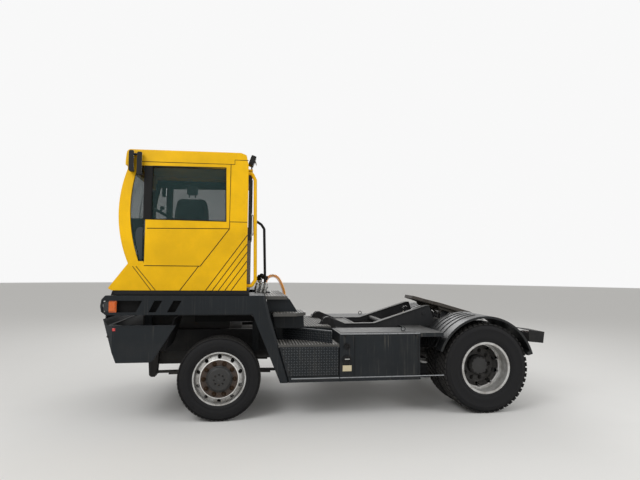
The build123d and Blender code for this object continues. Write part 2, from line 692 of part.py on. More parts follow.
def front_panel():
    """The slatted panel between bumper and cab, in front of the radiator."""
    outline = [(6, 1277), (40, 1200), (40, 1110), (52, 1110), (52, 1203), (18, 1280)]
    panel = side_plate(shifted(outline, NOSE_X), (-HALF_WIDTH + FENDER_DEPTH, HALF_WIDTH - FENDER_DEPTH))
    for row in range(4):
        low = 1122 + 20 * row
        panel -= block((NOSE_X, NOSE_X + 100), (-420, 420), (low, low + 10))
    return panel


def headlamp():
    """The left lamp: a bucket behind the bumper's sheet and a domed lens in front."""
    lamp = turned([(0, -46), (46, -40), (LAMP_R - 14, -6), (LAMP_R, 0), (LAMP_R, 26), (LAMP_R - 8, 33), (44, 41),
                   (0, 44)])
    return Pos(sloping_front(LAMP_Z), -LAMP_Y, LAMP_Z) * Rot(0, -90, 0) * lamp


nodes["front_crossbeam"] = front_crossbeam()
nodes["front_panel"] = front_panel()
nodes["headlamps"] = both(headlamp())


def indicator():
    """The left lamp in the frame's front slot, its base plate behind the sheet."""
    back = -HALF_WIDTH + SHEET + SEAT_GAP
    lens = block(INDICATOR_X, (-HALF_WIDTH - INDICATOR_PROUD, back + 20), INDICATOR_Z)
    base_x = (INDICATOR_X[0] + 16, INDICATOR_X[1] + 12)
    return lens + block(base_x, (back, back + 20), (SLOT_FOOT - 8, SLOT_TOP + 8))


# Left step unit

STEP_SHEET = 8
TREAD_RIB = 5
TREAD_PITCH = 30
PLATFORM_X = (DECK_REAR_X + 20, DECK_REAR_X + 263)
WALKWAY_X = (FRONT_AXLE_X + 935, BOX_FRONT_X - 4)
WALKWAY_TOP = BOX_TOP + 25
WALKWAY_HALF_Y = 690
CHEEK_Y = -706
STEP_TREADS = [
    # top height, front X, rear X, outer Y, inner Y, cut of the rear outer corner
    (PLATFORM_TOP, PLATFORM_X[0], PLATFORM_X[1], -HALF_WIDTH + 190, 440, 0),
    (1157, PLATFORM_X[0] + 80, FRONT_AXLE_X + 950, -HALF_WIDTH + 90, CHEEK_Y, 120),
    (820, FRONT_AXLE_X + 735, BOX_FRONT_X - 4, -HALF_WIDTH + 10, -840, 0),
]
RISER_1_Y = -HALF_WIDTH + 250
RISER_2_Y = -HALF_WIDTH + 350
RISER_TOP = 957
SILL_Y = -HALF_WIDTH + 30
SILL_TOP = 470
STEP_ARM_X = (FRONT_AXLE_X + 815, BOX_FRONT_X - 96)
ARM_Z = (700, 780)
WALKWAY_POST_Y = 405


def step_tread(top, x0, x1, y0, y1, cut):
    """A tread folded down at its edges, ribbed across its top."""
    low = top - TREAD
    cut_corner = [(x1 - cut, y0), (x1, y0 + cut)] if cut else [(x1, y0)]
    tread = plan_plate([(x0, y0), *cut_corner, (x1, y1), (x0, y1)], (low, top - TREAD_RIB))
    tread -= block((x0 + STEP_SHEET, x1 - cut - STEP_SHEET), (y0 + STEP_SHEET, y1 - STEP_SHEET),
                   (low - 1, top - 3 * TREAD_RIB))
    for row in range(int((x1 - x0) / TREAD_PITCH)):
        x = x0 + TREAD_PITCH * (row + 0.5)
        outer = y0 + max(0, x + TREAD_PITCH / 4 - x1 + cut) + STEP_SHEET / 2
        tread += block((x - TREAD_PITCH / 4, x + TREAD_PITCH / 4), (outer, y1 - STEP_SHEET),
                       (top - TREAD_RIB - 1, top))
    return tread


def walkway():
    """The ribbed deck between the boxes, notched for the boom's pivot brackets."""
    x0, x1 = WALKWAY_X
    deck = block(WALKWAY_X, (-WALKWAY_HALF_Y, WALKWAY_HALF_Y), (BOX_TOP, WALKWAY_TOP - TREAD_RIB))
    for row in range(int(2 * WALKWAY_HALF_Y / TREAD_PITCH / 1.5)):
        y = -WALKWAY_HALF_Y + 1.5 * TREAD_PITCH * (row + 0.5)
        deck += block((x0 + STEP_SHEET, x1 - STEP_SHEET), (y - TREAD_PITCH / 3, y + TREAD_PITCH / 3),
                      (WALKWAY_TOP - TREAD_RIB - 1, WALKWAY_TOP))
    notch = block((BOOM_PIVOT_X - 125, x1 + 1), (BOOM_ARM_Y[0] - 30, BOOM_ARM_Y[1] + 30),
                  (BOX_TOP - 1, WALKWAY_TOP + 1))
    return deck - both(notch)


def step_treads():
    """The three treads and the ribbed walkway behind the cab."""
    return Part() + [step_tread(*row) for row in STEP_TREADS] + walkway()


def step_carcass():
    """Risers, cheek, kick panels and sill that carry the treads, each a plate of its own."""
    (top1, a0, a1, _, _, _), (top2, b0, b1, _, _, _), (top3, c0, c1, outer3, _, _) = STEP_TREADS
    gap = SEAT_GAP
    low1, low2, low3 = top1 - TREAD, top2 - TREAD, top3 - TREAD
    kick_y = outer3 + 14
    kick_x = c0 + 12
    floor_top = BOX_BOTTOM + STEP_SHEET + gap
    plates = [
        side_plate([(a0 + 10, low1), (a1 + 30, low1), (b1 - 90, top2), (a0 + 10, top2)],
                   (RISER_1_Y, RISER_1_Y + STEP_SHEET)),
        side_plate([(b0 + 8, low2), (b1 - 8, low2), (b1, RISER_TOP), (b0 + 44, RISER_TOP)],
                   (RISER_2_Y, RISER_2_Y + STEP_SHEET)),
        side_plate([(a0 + 40, low1), (a1 + 37, low1), (b1 + STEP_SHEET, RISER_TOP), (c1, BOX_TOP - 1),
                    (c1, BOX_BOTTOM), (c0 + 20, BOX_BOTTOM), (b0, low2)], (CHEEK_Y, CHEEK_Y + STEP_SHEET)),
        plan_plate([(kick_x, -734), (c1 - 76, -HALF_WIDTH + 60), (c1 - 68, -HALF_WIDTH + 68), (kick_x + 8, -726)],
                   (top3, BOX_TOP - 1)),
        block((c0 + 20, c1), (kick_y, kick_y + STEP_SHEET), (SILL_TOP, low3)),
        block((kick_x, c1), (-HALF_WIDTH, CHEEK_Y - gap), (BOX_BOTTOM, BOX_BOTTOM + STEP_SHEET)),
        block((kick_x, c1), (-HALF_WIDTH, SILL_Y), (floor_top, SILL_TOP - gap)),
        block((kick_x, kick_x + STEP_SHEET), (SILL_Y + gap, CHEEK_Y - gap), (floor_top, low3)),
    ]
    for x in STEP_ARM_X:
        plates.append(block((x - 30, x + 30), (CHEEK_Y + STEP_SHEET + gap, -RAIL_OUTER_Y), ARM_Z))
    posts = [(a0 + 80, a0 + 140, low1), (WALKWAY_X[0] + 20, WALKWAY_X[0] + 60, BOX_TOP),
             (BOOM_PIVOT_X - 180, BOOM_PIVOT_X - 140, BOX_TOP)]
    for x0, x1, top in posts:
        for y in (-WALKWAY_POST_Y, WALKWAY_POST_Y):
            plates.append(block((x0, x1), (y - 35, y + 35), (RAIL_TOP, top)))
    return Compound(children=plates)


nodes["step_treads"] = step_treads()
nodes["step_carcass"] = step_carcass()

# Side boxes and deck

BOX_LIP = 37
BOX_EDGE_R = 36
DECK_END_X = REAR_AXLE_X - 523
DECK_DROP = 45
LID_RISE = 4
RING_R = 24
OUTRIGGER_X = (BOX_FRONT_X + 120, BOX_REAR_X - 120)


def side_box():
    """The left box with a rounded top edge, a lip along its foot and a lid on top."""
    outer = -HALF_WIDTH + SHEET
    lip_top = BOX_BOTTOM + BOX_LIP
    outline = [(-BOX_INNER_Y, BOX_BOTTOM), (-HALF_WIDTH, BOX_BOTTOM), (-HALF_WIDTH, lip_top), (outer, lip_top),
               (outer, BOX_TOP), (-BOX_INNER_Y, BOX_TOP)]
    body = cross_plate(outline, (BOX_FRONT_X, BOX_REAR_X))
    body = fillet(body.edges().sort_by_distance((0, outer, BOX_TOP))[0], BOX_EDGE_R)
    lid = block((BOX_FRONT_X + 25, BOX_REAR_X - 25), (-HALF_WIDTH + 75, -BOX_INNER_Y - 20),
                (BOX_TOP, BOX_TOP + LID_RISE))
    return body + lid


CAP_X = BOX_FRONT_X + 82
FILLER_CAPS = [
    # height, radius, how far it stands out
    (792, 34, 16),
    (645, 48, 20),
]


def filler_cap(z, radius, out):
    """A round cap with a stepped rim and a grip bar across."""
    face = -HALF_WIDTH + SHEET
    cap = bar((CAP_X, face, z), (CAP_X, face - out, z), radius)
    cap -= bar((CAP_X, face - out + 5, z), (CAP_X, face - out - 1, z), radius - 9)
    return cap + block((CAP_X - radius + 12, CAP_X + radius - 12), (face - out, face - out + 6), (z - 5, z + 5))


nodes["filler_caps"] = Part() + [filler_cap(*row) for row in FILLER_CAPS]


def deck_plate():
    """The left deck sheet, folded down at its edges, and the lifting ring on the box."""
    outer = -HALF_WIDTH + SHEET
    inner = -RAIL_OUTER_Y - SEAT_GAP
    deck = block((BOX_REAR_X, DECK_END_X), (outer, inner), (BOX_TOP - SHEET, BOX_TOP))
    for y0, y1 in ((outer, outer + SHEET), (inner - SHEET, inner)):
        deck += block((BOX_REAR_X, DECK_END_X), (y0, y1), (BOX_TOP - DECK_DROP, BOX_TOP))
    ring_x = BOX_REAR_X - 150
    ring_y = -HALF_WIDTH + 160
    foot = BOX_TOP + LID_RISE
    ring = Pos(ring_x, ring_y, foot + RING_R + 2) * Rot(90, 0, 0) * Torus(RING_R, 5)
    ring += block((ring_x - 12, ring_x + 12), (ring_y - 10, ring_y + 10), (BOX_TOP, foot + 7))
    return deck + ring


def outriggers():
    """The two arms that carry the left box on the rail."""
    reach = (-BOX_INNER_Y + SEAT_GAP, -RAIL_OUTER_Y)
    return Part() + [block((x - 40, x + 40), reach, (680, 760)) for x in OUTRIGGER_X]


nodes["side_boxes"] = both(side_box() + deck_plate())
nodes["frame_brackets"] += both(outriggers())

# Rear fenders, tail and coupling

FENDER_R = 600
FENDER_SHEET = 8
FENDER_INNER_Y = 600
FENDER_SPAN = (15, 160)
FENDER_LIP = 26
FENDER_END = 62
FENDER_RIB = 7
FENDER_RIB_SPAN = (95, 158)
FENDER_RIB_Y = (-1080, -970, -860, -750)
BEARER_ANGLES = (35, 145)
TAIL_LAMP_X = RAIL_REAR_X + 40
TAIL_LAMP_Y = (640, 960)


def arc_band(x, z, radius, sheet, start, end, y):
    """A sheet curved round a wheel centre between two angles."""
    outer = CenterArc((x, z), radius, start, end - start)
    inner = CenterArc((x, z), radius - sheet, start, end - start)
    face = make_face(outer + inner + Line(outer @ 0, inner @ 0) + Line(outer @ 1, inner @ 1))
    return Pos(0, y[1], 0) * Rot(90, 0, 0) * extrude(face, amount=y[1] - y[0])


def rear_fender():
    """The left fender over the twin wheels: lip, thick rear end, ribbed front and two bearers to the rail."""
    x, z = REAR_AXLE_X, REAR_TYRE_R
    full = (-HALF_WIDTH, -FENDER_INNER_Y)
    start, end = FENDER_SPAN
    band = arc_band(x, z, FENDER_R, FENDER_SHEET, start, end, full)
    band += arc_band(x, z, FENDER_R, FENDER_LIP, start, end, (-HALF_WIDTH, -HALF_WIDTH + 10))
    band += arc_band(x, z, FENDER_R, FENDER_END, start, start + 4, full)
    for y in FENDER_RIB_Y:
        band += arc_band(x, z, FENDER_R + FENDER_RIB, 2 * FENDER_RIB, *FENDER_RIB_SPAN, (y, y + 55))
    for angle in BEARER_ANGLES:
        px = x + (FENDER_R - 30) * math.cos(math.radians(angle))
        pz = z + (FENDER_R - 30) * math.sin(math.radians(angle))
        band += bar((px, -FENDER_INNER_Y - 20, pz), (px, -RAIL_OUTER_Y, pz), 24)
    return band


def tail():
    """The rear crossmember with the towing jaw, and a lamp bracket beside each rail."""
    start = RAIL_REAR_X + SEAT_GAP
    plate = block((start, start + 16), (-RAIL_OUTER_Y, RAIL_OUTER_Y), (RAIL_BOTTOM, RAIL_TOP))
    jaw = [(start + 16, 690), (TAIL_X - 60, 690), (TAIL_X, 730), (TAIL_X, 745), (TAIL_X - 62, 745),
           (TAIL_X - 90, 765), (TAIL_X - 62, 785), (TAIL_X, 785), (TAIL_X, 800), (TAIL_X - 60, 840),
           (start + 16, 840)]
    plate += side_plate(jaw, (-60, 60))
    plate += bar((TAIL_X - 40, 0, 700), (TAIL_X - 40, 0, 850), 18)
    web = RAIL_OUTER_Y + SEAT_GAP
    arm = block((TAIL_LAMP_X - 90, TAIL_LAMP_X - 70), (-TAIL_LAMP_Y[1], -web), (770, 880))
    top = [(-90, 915), (120, 889), (120, 881), (-90, 907)]
    arm += side_plate(shifted(top, TAIL_LAMP_X), (-TAIL_LAMP_Y[1], -TAIL_LAMP_Y[0] + 30))
    cheek = [(-90, 915), (120, 889), (100, 751), (-90, 770)]
    arm += side_plate(shifted(cheek, TAIL_LAMP_X), (-TAIL_LAMP_Y[1], -TAIL_LAMP_Y[1] + SHEET))
    return plate + both(arm)


nodes["rear_fenders"] = both(rear_fender())
nodes["ladder_frame"] += tail()
tail_lamp = block((TAIL_LAMP_X - 70, TAIL_LAMP_X + 10), (-TAIL_LAMP_Y[1] + SHEET + SEAT_GAP, -TAIL_LAMP_Y[0]),
                  (775, 880))
nodes["signal_lamps"] = both(indicator()) + both(fillet(tail_lamp.edges().filter_by(Axis.X), 12))

# Lifting boom

ARM_CREST = 1183
ARM_FLANGE = 12
ARM_EAVE = 10
EAR_Y = (CYLINDER_Y - 60, CYLINDER_Y - 50)
PEDESTAL_Y = 230
PLATE_PIN_R = 24
PLATE_UNDER = 78
PLATE_TOP = 120
PLATE_HALF = 430
THROAT_X = 60
THROAT_HALF = 30
JAW_X = 40
JAW_R = 26
RAMP_START = 310
RAMP_DROP = 22
PLATE_OUTLINE = [
    # from the pivot: along, across, corner radius
    (-PLATE_HALF, 170, 60), (-360, 250, 40), (-275, 250, 0), (-245, 340, 20), (-200, 340, 20), (-150, 450, 40),
    (RAMP_START, 450, 60), (PLATE_HALF, 330, 40), (PLATE_HALF, 90, 30), (THROAT_X, THROAT_HALF, 8),
]
PLATE_RIBS = [
    # front end, distance from the middle
    (-230, 200),
    (-140, 400),
]


def lift_boom():
    """Two tapering arms with top flanges, cross pieces, cylinder ears and the fifth wheel's pedestals."""
    x, z = BOOM_PIVOT_X, BOOM_PIVOT_Z
    arm_end = PLATE_PIVOT_X + 115
    back = [(x + 226, 958), (x + 610, 960), (LIFT_PIN_X + 26, ARM_CREST), (LIFT_PIN_X + 76, ARM_CREST)]
    lug = shifted([(0, z - 60), (-42, z - 42), (-60, z), (-42, z + 42), (0, z + 60), (60, z + 40)], x)
    rear = [(LIFT_PIN_X + 136, 1010), (arm_end, 1010), (arm_end, BOOM_BOTTOM), (x + 200, BOOM_BOTTOM)]
    low, high = BOOM_ARM_Y
    arm = side_plate(lug + back + rear, (low, high))
    under = [(px, pz - ARM_FLANGE) for px, pz in reversed(back)]
    arm += side_plate(back + under, (low - ARM_EAVE, high + ARM_EAVE))
    arm -= bar((x, low - 1, z), (x, high + 1, z), BOOM_PIN_R + RUNNING_FIT)
    boom = both(arm)
    for cx, cz, radius in ((x + 370, 932, 24), (LIFT_PIN_X - 514, 950, 34)):
        boom += bar((cx, -low - 1, cz), (cx, low + 1, cz), radius)
    boom += block((x + 230, x + 350), (-low - 1, low + 1), (BOOM_BOTTOM, BOOM_BOTTOM + 40))
    pin_end = high + 6
    boom += both(bar((LIFT_PIN_X, EAR_Y[0], LIFT_PIN_Z), (LIFT_PIN_X, pin_end, LIFT_PIN_Z), CYLINDER_PIN_R))
    ear = [(-34, 1122), (34, 1122), (116, 1000), (116, 930), (76, 930), (-44, 1040)]
    boom += both(side_plate(shifted(ear, LIFT_PIN_X), EAR_Y))
    boom += both(block((LIFT_PIN_X + 76, LIFT_PIN_X + 116), (EAR_Y[0], low + 1), (930, 1000)))
    boom += block((PLATE_PIVOT_X + 15, arm_end - 5), (-low - 1, low + 1), (BOOM_BOTTOM, BOOM_BOTTOM + 60))
    pedestal = [(-90, BOOM_BOTTOM), (105, BOOM_BOTTOM), (40, PLATE_PIVOT_Z + 20), (15, PLATE_PIVOT_Z + 42),
                (-15, PLATE_PIVOT_Z + 42), (-40, PLATE_PIVOT_Z + 20)]
    for y in (PEDESTAL_Y, PEDESTAL_Y + 100):
        boom += both(side_plate(shifted(pedestal, PLATE_PIVOT_X), (y, y + 20)))
    pivot = [(PLATE_PIVOT_X, y, PLATE_PIVOT_Z) for y in (PEDESTAL_Y, PEDESTAL_Y + 120)]
    return boom + both(bar(*pivot, PLATE_PIN_R))


def fifth_wheel():
    """The coupling plate: throat, locking bore and rear ramps, over its ribs and pivot lugs."""
    mirrored = [(px, -py, radius) for px, py, radius in PLATE_OUTLINE]
    slab = rounded_plan(PLATE_OUTLINE + mirrored[::-1], (PLATE_UNDER, PLATE_TOP))
    slab -= Pos(JAW_X, 0, PLATE_TOP) * Cylinder(JAW_R, 2 * PLATE_TOP)
    ramp = [(RAMP_START, PLATE_TOP), (PLATE_HALF, PLATE_TOP - RAMP_DROP), (PLATE_HALF + 1, PLATE_TOP + 1),
            (RAMP_START, PLATE_TOP + 1)]
    slab -= side_plate(ramp, (-500, 500))
    top = PLATE_UNDER - SEAT_GAP
    solids = [slab]
    lug = [(-70, top), (-34, -10), (-12, -30), (12, -30), (34, -10), (70, top)]
    for side in (-1, 1):
        for front, y in PLATE_RIBS:
            rib = [(front, top), (front + 30, 40), (270, 40), (330, top)]
            solids.append(side_plate(rib, (side * y - 8, side * y + 8)))
        y = side * (PEDESTAL_Y + 60)
        bore = bar((0, y - 36, 0), (0, y + 36, 0), PLATE_PIN_R + RUNNING_FIT)
        solids.append(side_plate(lug, (y - 34, y + 34)) - bore)
    place = Pos(PLATE_PIVOT_X, 0, PLATE_PIVOT_Z) * Rot(0, PLATE_REST_TILT, 0)
    return Compound(children=[place * solid for solid in solids])


lift_run = Vector(LIFT_PIN_X - CYLINDER_FOOT_X, 0, LIFT_PIN_Z - CYLINDER_FOOT_Z)
lift_way = lift_run.normalized()
BARREL_R = 46
BARREL_LENGTH = lift_run.length - 110
ROD_R = 27
ROD_EYE_R = 45
FOOT_EYE_R = 50


def along_cylinder(distance, y):
    """A point on the lift cylinder's centre line."""
    foot = Vector(CYLINDER_FOOT_X, y, CYLINDER_FOOT_Z)
    return tuple(foot + lift_way * distance)


def cylinder_barrel():
    """The right barrel with its foot eye, bored for the rod."""
    y = CYLINDER_Y
    barrel = bar(along_cylinder(40, y), along_cylinder(BARREL_LENGTH, y), BARREL_R)
    foot_x, foot_z = CYLINDER_FOOT_X, CYLINDER_FOOT_Z
    barrel += bar((foot_x, y - 44, foot_z), (foot_x, y + 44, foot_z), FOOT_EYE_R)
    barrel -= bar((foot_x, y - 60, foot_z), (foot_x, y + 60, foot_z), CYLINDER_PIN_R + RUNNING_FIT)
    barrel -= bar(along_cylinder(70, y), along_cylinder(BARREL_LENGTH + 1, y), ROD_R + RUNNING_FIT)
    return barrel


def cylinder_rod():
    """The right rod with the eye round the boom's cross pin."""
    y = CYLINDER_Y
    rod_end = lift_run.length - CYLINDER_PIN_R - EYE_DRIFT - 4
    rod = bar(along_cylinder(80, y), along_cylinder(rod_end, y), ROD_R)
    rod += bar((LIFT_PIN_X, y - 40, LIFT_PIN_Z), (LIFT_PIN_X, y + 40, LIFT_PIN_Z), ROD_EYE_R)
    rod -= bar((LIFT_PIN_X, y - 50, LIFT_PIN_Z), (LIFT_PIN_X, y + 50, LIFT_PIN_Z), CYLINDER_PIN_R + EYE_DRIFT)
    return rod


nodes["lift_boom"] = lift_boom()
nodes["fifth_wheel_plate"] = fifth_wheel()
nodes["lift_cylinder_barrels"] = both(cylinder_barrel())
nodes["lift_cylinder_rods"] = both(cylinder_rod())

# Cab shell

APRON_TOP = CAB_BASE + 284
QUARTER_FOOT = CAB_BASE + 309
SILL_Z = CAB_BASE + 755
WINDOW_TOP = CAB_EAVES - 48
PILLAR_OUTER = shifted([(222, CAB_EAVES - 90), (144, SILL_Z + 81), (255, APRON_TOP)], NOSE_X)
PILLAR_INNER = shifted([(305, CAB_EAVES - 123), (261, SILL_Z + 59), (358, QUARTER_FOOT)], NOSE_X)
HEADER_X = PILLAR_OUTER[0][0]
APRON_NOSE = (NOSE_X + 63, CAB_BASE + 23)
APRON_FOOT = (NOSE_X + 97, CAB_BASE)
POST_SPAN = (NOSE_X + 418, NOSE_X + 476)
WINDOW_REAR = (CAB_REAR_X - 245, CAB_REAR_X - 236)


def wall_face(y):
    """The cab's side outline, with its bowed windscreen pillar."""
    pillar = ThreePointArc(*[(px, y, pz) for px, pz in PILLAR_OUTER])
    corners = [PILLAR_OUTER[2], APRON_NOSE, APRON_FOOT, (CAB_REAR_X, CAB_BASE), (CAB_REAR_X, CAB_EAVES),
               (HEADER_X, CAB_EAVES), PILLAR_OUTER[0]]
    rest = Polyline(*[(px, y, pz) for px, pz in corners])
    return make_face(pillar + rest)


def windscreen_band(depth_out, depth_in, y):
    """A band that follows the pillar's bow, from one inset to another."""
    def arc(inset):
        return ThreePointArc(*[(px + inset, y[0], pz) for px, pz in PILLAR_OUTER])
    outer, inner = arc(depth_out), arc(depth_in)
    face = make_face(outer + inner + Line(outer @ 0, inner @ 0) + Line(outer @ 1, inner @ 1))
    return extrude(face, amount=y[1] - y[0], dir=(0, 1, 0))


def wall_openings(y):
    """The side window and the narrow window behind the pillar."""
    front, back = POST_SPAN
    main = side_plate([(back, WINDOW_TOP), (WINDOW_REAR[0], WINDOW_TOP), (WINDOW_REAR[1], SILL_Z),
                       (back, SILL_Z)], y)
    arc = ThreePointArc(*[(px, y[0], pz) for px, pz in PILLAR_INNER])
    corners = (PILLAR_INNER[2], (front, QUARTER_FOOT), (front, WINDOW_TOP), (NOSE_X + 320, WINDOW_TOP),
               PILLAR_INNER[0])
    rest = Polyline(*[(px, y[0], pz) for px, pz in corners])
    quarter = extrude(make_face(arc + rest), amount=y[1] - y[0], dir=(0, 1, 0))
    return main + quarter


def side_wall(y):
    """One side wall with its two windows cut."""
    wall = extrude(wall_face(y[0]), amount=y[1] - y[0], dir=(0, 1, 0))
    return wall - wall_openings((y[0] - 1, y[1] + 1))


GROOVE = 11
GROOVE_DEPTH = 4
GROOVE_RISES = (606, 508, 417, 323, 230)
GROOVE_LEAN = 0.72
SEAMS = [
    # from the nose and the cab's base: lower panel's foot and slanting end, belt, pillar seam, seam to the base
    [(419, 266), (1000, 266), (1300, 674), (1310, 674), (1006, 258), (419, 258)],
    [(437, 665), (1303, 678), (1303, 670), (437, 657)],
    [(1303, 750), (1311, 750), (1311, 674), (1303, 674)],
    [(977, 258), (790, 0), (800, 0), (987, 258)],
]

ROOF_NOSE_R = 45
ROOF_EDGE_R = 18

DOORWAY_Y = (CAB_LEFT + 140, CAB_LEFT + 790)
DOORWAY_TOP = CAB_EAVES - 90
REAR_PANE_Y = (CAB_RIGHT - 540, CAB_RIGHT - 100)
REAR_PANE_Z = (CAB_BASE + 495, CAB_EAVES - 150)
DOOR_X = (CAB_REAR_X + FREE_GAP, CAB_REAR_X + FREE_GAP + 34)
DOOR_Y = (DOORWAY_Y[0] - 20, DOORWAY_Y[1] + 20)
DOOR_Z = (CAB_FLOOR + 10, DOORWAY_TOP + 40)
DOOR_PANE_Y = (DOOR_Y[0] + 80, DOOR_Y[1] - 80)
DOOR_PANE_Z = (CAB_BASE + 575, DOOR_Z[1] - 80)

left_span = (CAB_LEFT, CAB_LEFT + CAB_WALL)
right_span = (CAB_RIGHT - CAB_WALL, CAB_RIGHT)
inside_y = (left_span[1], right_span[0])


def raised(shape):
    """A cab piece drawn from the cab's base, lifted to its height."""
    return Pos(0, 0, CAB_BASE) * shape


def left_wall():
    """The left wall with its pressed seams and the five slanting grooves."""
    wall = side_wall(left_span)
    skin = (CAB_LEFT - 1, CAB_LEFT + GROOVE_DEPTH)
    for rise in GROOVE_RISES:
        run = rise * GROOVE_LEAN
        groove = [(5, rise), (5, rise + GROOVE), (-3 - run, -1), (5 - run, -1)]
        wall -= raised(side_plate(shifted(groove, CAB_REAR_X), skin))
    for outline in SEAMS:
        wall -= raised(side_plate(shifted(outline, NOSE_X), skin))
    return wall


def rear_wall():
    """The rear wall with the doorway at the left, a window at the right and the door's top track."""
    wall = block((CAB_REAR_X - CAB_WALL, CAB_REAR_X), inside_y, (CAB_FLOOR, CAB_EAVES))
    through = (CAB_REAR_X - 60, CAB_REAR_X + 10)
    wall -= block(through, DOORWAY_Y, (CAB_FLOOR - 1, DOORWAY_TOP))
    wall -= block(through, REAR_PANE_Y, REAR_PANE_Z)
    track_low = DOOR_Z[1] + FREE_GAP
    return wall + block((CAB_REAR_X, DOOR_X[1] + 8), (DOOR_Y[0], CAB_RIGHT - 10), (track_low, track_low + 24))


def cab_roof():
    """The roof shell, hollow below, with rounded edges and the visor at the front."""
    brow = (NOSE_X + 206, CAB_TOP - 12)
    outline = [(NOSE_X + 195, CAB_EAVES + 21), (NOSE_X + 197, CAB_EAVES - 45), (HEADER_X - 2, CAB_EAVES - 45),
               (HEADER_X, CAB_EAVES), (CAB_REAR_X, CAB_EAVES), (CAB_REAR_X - 25, CAB_TOP - 24),
               (CAB_REAR_X - 83, CAB_TOP), brow]
    roof = side_plate(outline, (CAB_LEFT, CAB_RIGHT))
    roof = fillet(roof.edges().filter_by(Axis.Y).sort_by_distance((brow[0], 0, brow[1]))[0], ROOF_NOSE_R)
    sides = roof.edges().filter_by(Axis.Y, reverse=True)
    roof = fillet(sides.filter_by(lambda edge: edge.center().Z > CAB_TOP - 35), ROOF_EDGE_R)
    hollow = block((NOSE_X + 260, CAB_REAR_X - 45), (CAB_LEFT + 60, CAB_RIGHT - 60),
                   (CAB_EAVES - 1, CAB_TOP - 45))
    return roof - hollow




def cab_front():
    """The apron below the windscreen and the header above it."""
    inner = shifted([(137, CAB_BASE), (110, CAB_BASE + 27), (295, APRON_TOP)], NOSE_X)
    outline = [PILLAR_OUTER[2], APRON_NOSE, APRON_FOOT, *inner]
    header = block((HEADER_X, HEADER_X + CAB_WALL), inside_y, (PILLAR_OUTER[0][1], CAB_EAVES))
    return side_plate(outline, inside_y) + header


def cab_floor():
    """The floor plate over its base frame, with the hinge arms."""
    floor = block((NOSE_X + 140, CAB_REAR_X - CAB_WALL), inside_y, (CAB_BASE, CAB_FLOOR))
    base = block((NOSE_X + 127, CAB_REAR_X + 30), (CAB_LEFT + 6, CAB_RIGHT - 6),
                 (FENDER_TOP + FREE_GAP, CAB_BASE))
    base -= block((NOSE_X + 200, CAB_REAR_X - 70), (CAB_LEFT + 80, CAB_RIGHT - 80),
                  (FENDER_TOP, CAB_BASE + 1))
    for y in HINGE_Y:
        arm = block((CAB_HINGE_X, CAB_HINGE_X + 45), (y - 28, y + 28), (CAB_HINGE_Z - 12, CAB_HINGE_Z + 12))
        arm += bar((CAB_HINGE_X, y - 28, CAB_HINGE_Z), (CAB_HINGE_X, y + 28, CAB_HINGE_Z), 20)
        arm -= bar((CAB_HINGE_X, y - 30, CAB_HINGE_Z), (CAB_HINGE_X, y + 30, CAB_HINGE_Z),
                   HINGE_PIN_R + RUNNING_FIT)
        base += arm
    return floor + base


nodes["cab_left_wall"] = left_wall()
nodes["cab_right_wall"] = side_wall(right_span)
nodes["cab_rear_wall"] = rear_wall()
nodes["cab_roof"] = cab_roof()
nodes["cab_front_apron"] = cab_front()
nodes["cab_floor"] = cab_floor()
nodes["windscreen"] = windscreen_band(6, 6 + GLASS, inside_y)

glass_left = (CAB_LEFT + 17, CAB_LEFT + 17 + GLASS)
glass_right = (CAB_RIGHT - 17 - GLASS, CAB_RIGHT - 17)
rear_pane = block((CAB_REAR_X - 17 - GLASS, CAB_REAR_X - 17), REAR_PANE_Y, REAR_PANE_Z)
nodes["cab_windows"] = wall_openings(glass_left) + wall_openings(glass_right) + rear_pane

# Sliding door on the rear wall



def door_panel():
    """The door leaf with its window cut and two shoes under the track."""
    leaf = block(DOOR_X, DOOR_Y, DOOR_Z)
    for y in (DOOR_Y[0] + 90, DOOR_Y[1] - 90):
        shoe_top = DOOR_Z[1] + FREE_GAP - SEAT_GAP
        leaf += block((DOOR_X[0] + 6, DOOR_X[1] - 6), (y - 30, y + 30), (DOOR_Z[1], shoe_top))
    return leaf - block((DOOR_X[0] - 1, DOOR_X[1] + 1), DOOR_PANE_Y, DOOR_PANE_Z)


nodes["rear_door"] = door_panel()
nodes["rear_door_glass"] = block((DOOR_X[0] + 14, DOOR_X[0] + 14 + GLASS), DOOR_PANE_Y, DOOR_PANE_Z)

# Cab inside and outside fittings

SEAT_X = CAB_REAR_X - 640
SEAT_Y = CAB_LEFT + 660
SEAT_HALF = 240
PAN_Z = (CAB_FLOOR + 360, CAB_FLOOR + 390)
CUSHION_TOP = CAB_FLOOR + 510
BACK_Y = (SEAT_Y - 345, SEAT_Y - 240)
BACK_FOOT = CUSHION_TOP + 10
BACK_TOP = BACK_FOOT + 500
BACK_OUTLINE = [
    # half width, share of the height
    (195, 0.0),
    (212, 0.26),
    (205, 0.52),
    (168, 1.0),
]
HEADREST_HALF = 65
HEADREST_Z = (BACK_TOP + 27, BACK_TOP + 130)
BACK_BRACKET_Z = (CAB_FLOOR + 260, CAB_FLOOR + 300)
HEADREST_POST_X = 35


def rounded_pad(shape, axis, radius):
    """A pad whose edges along one axis are rounded."""
    return fillet(shape.edges().filter_by(axis), radius)


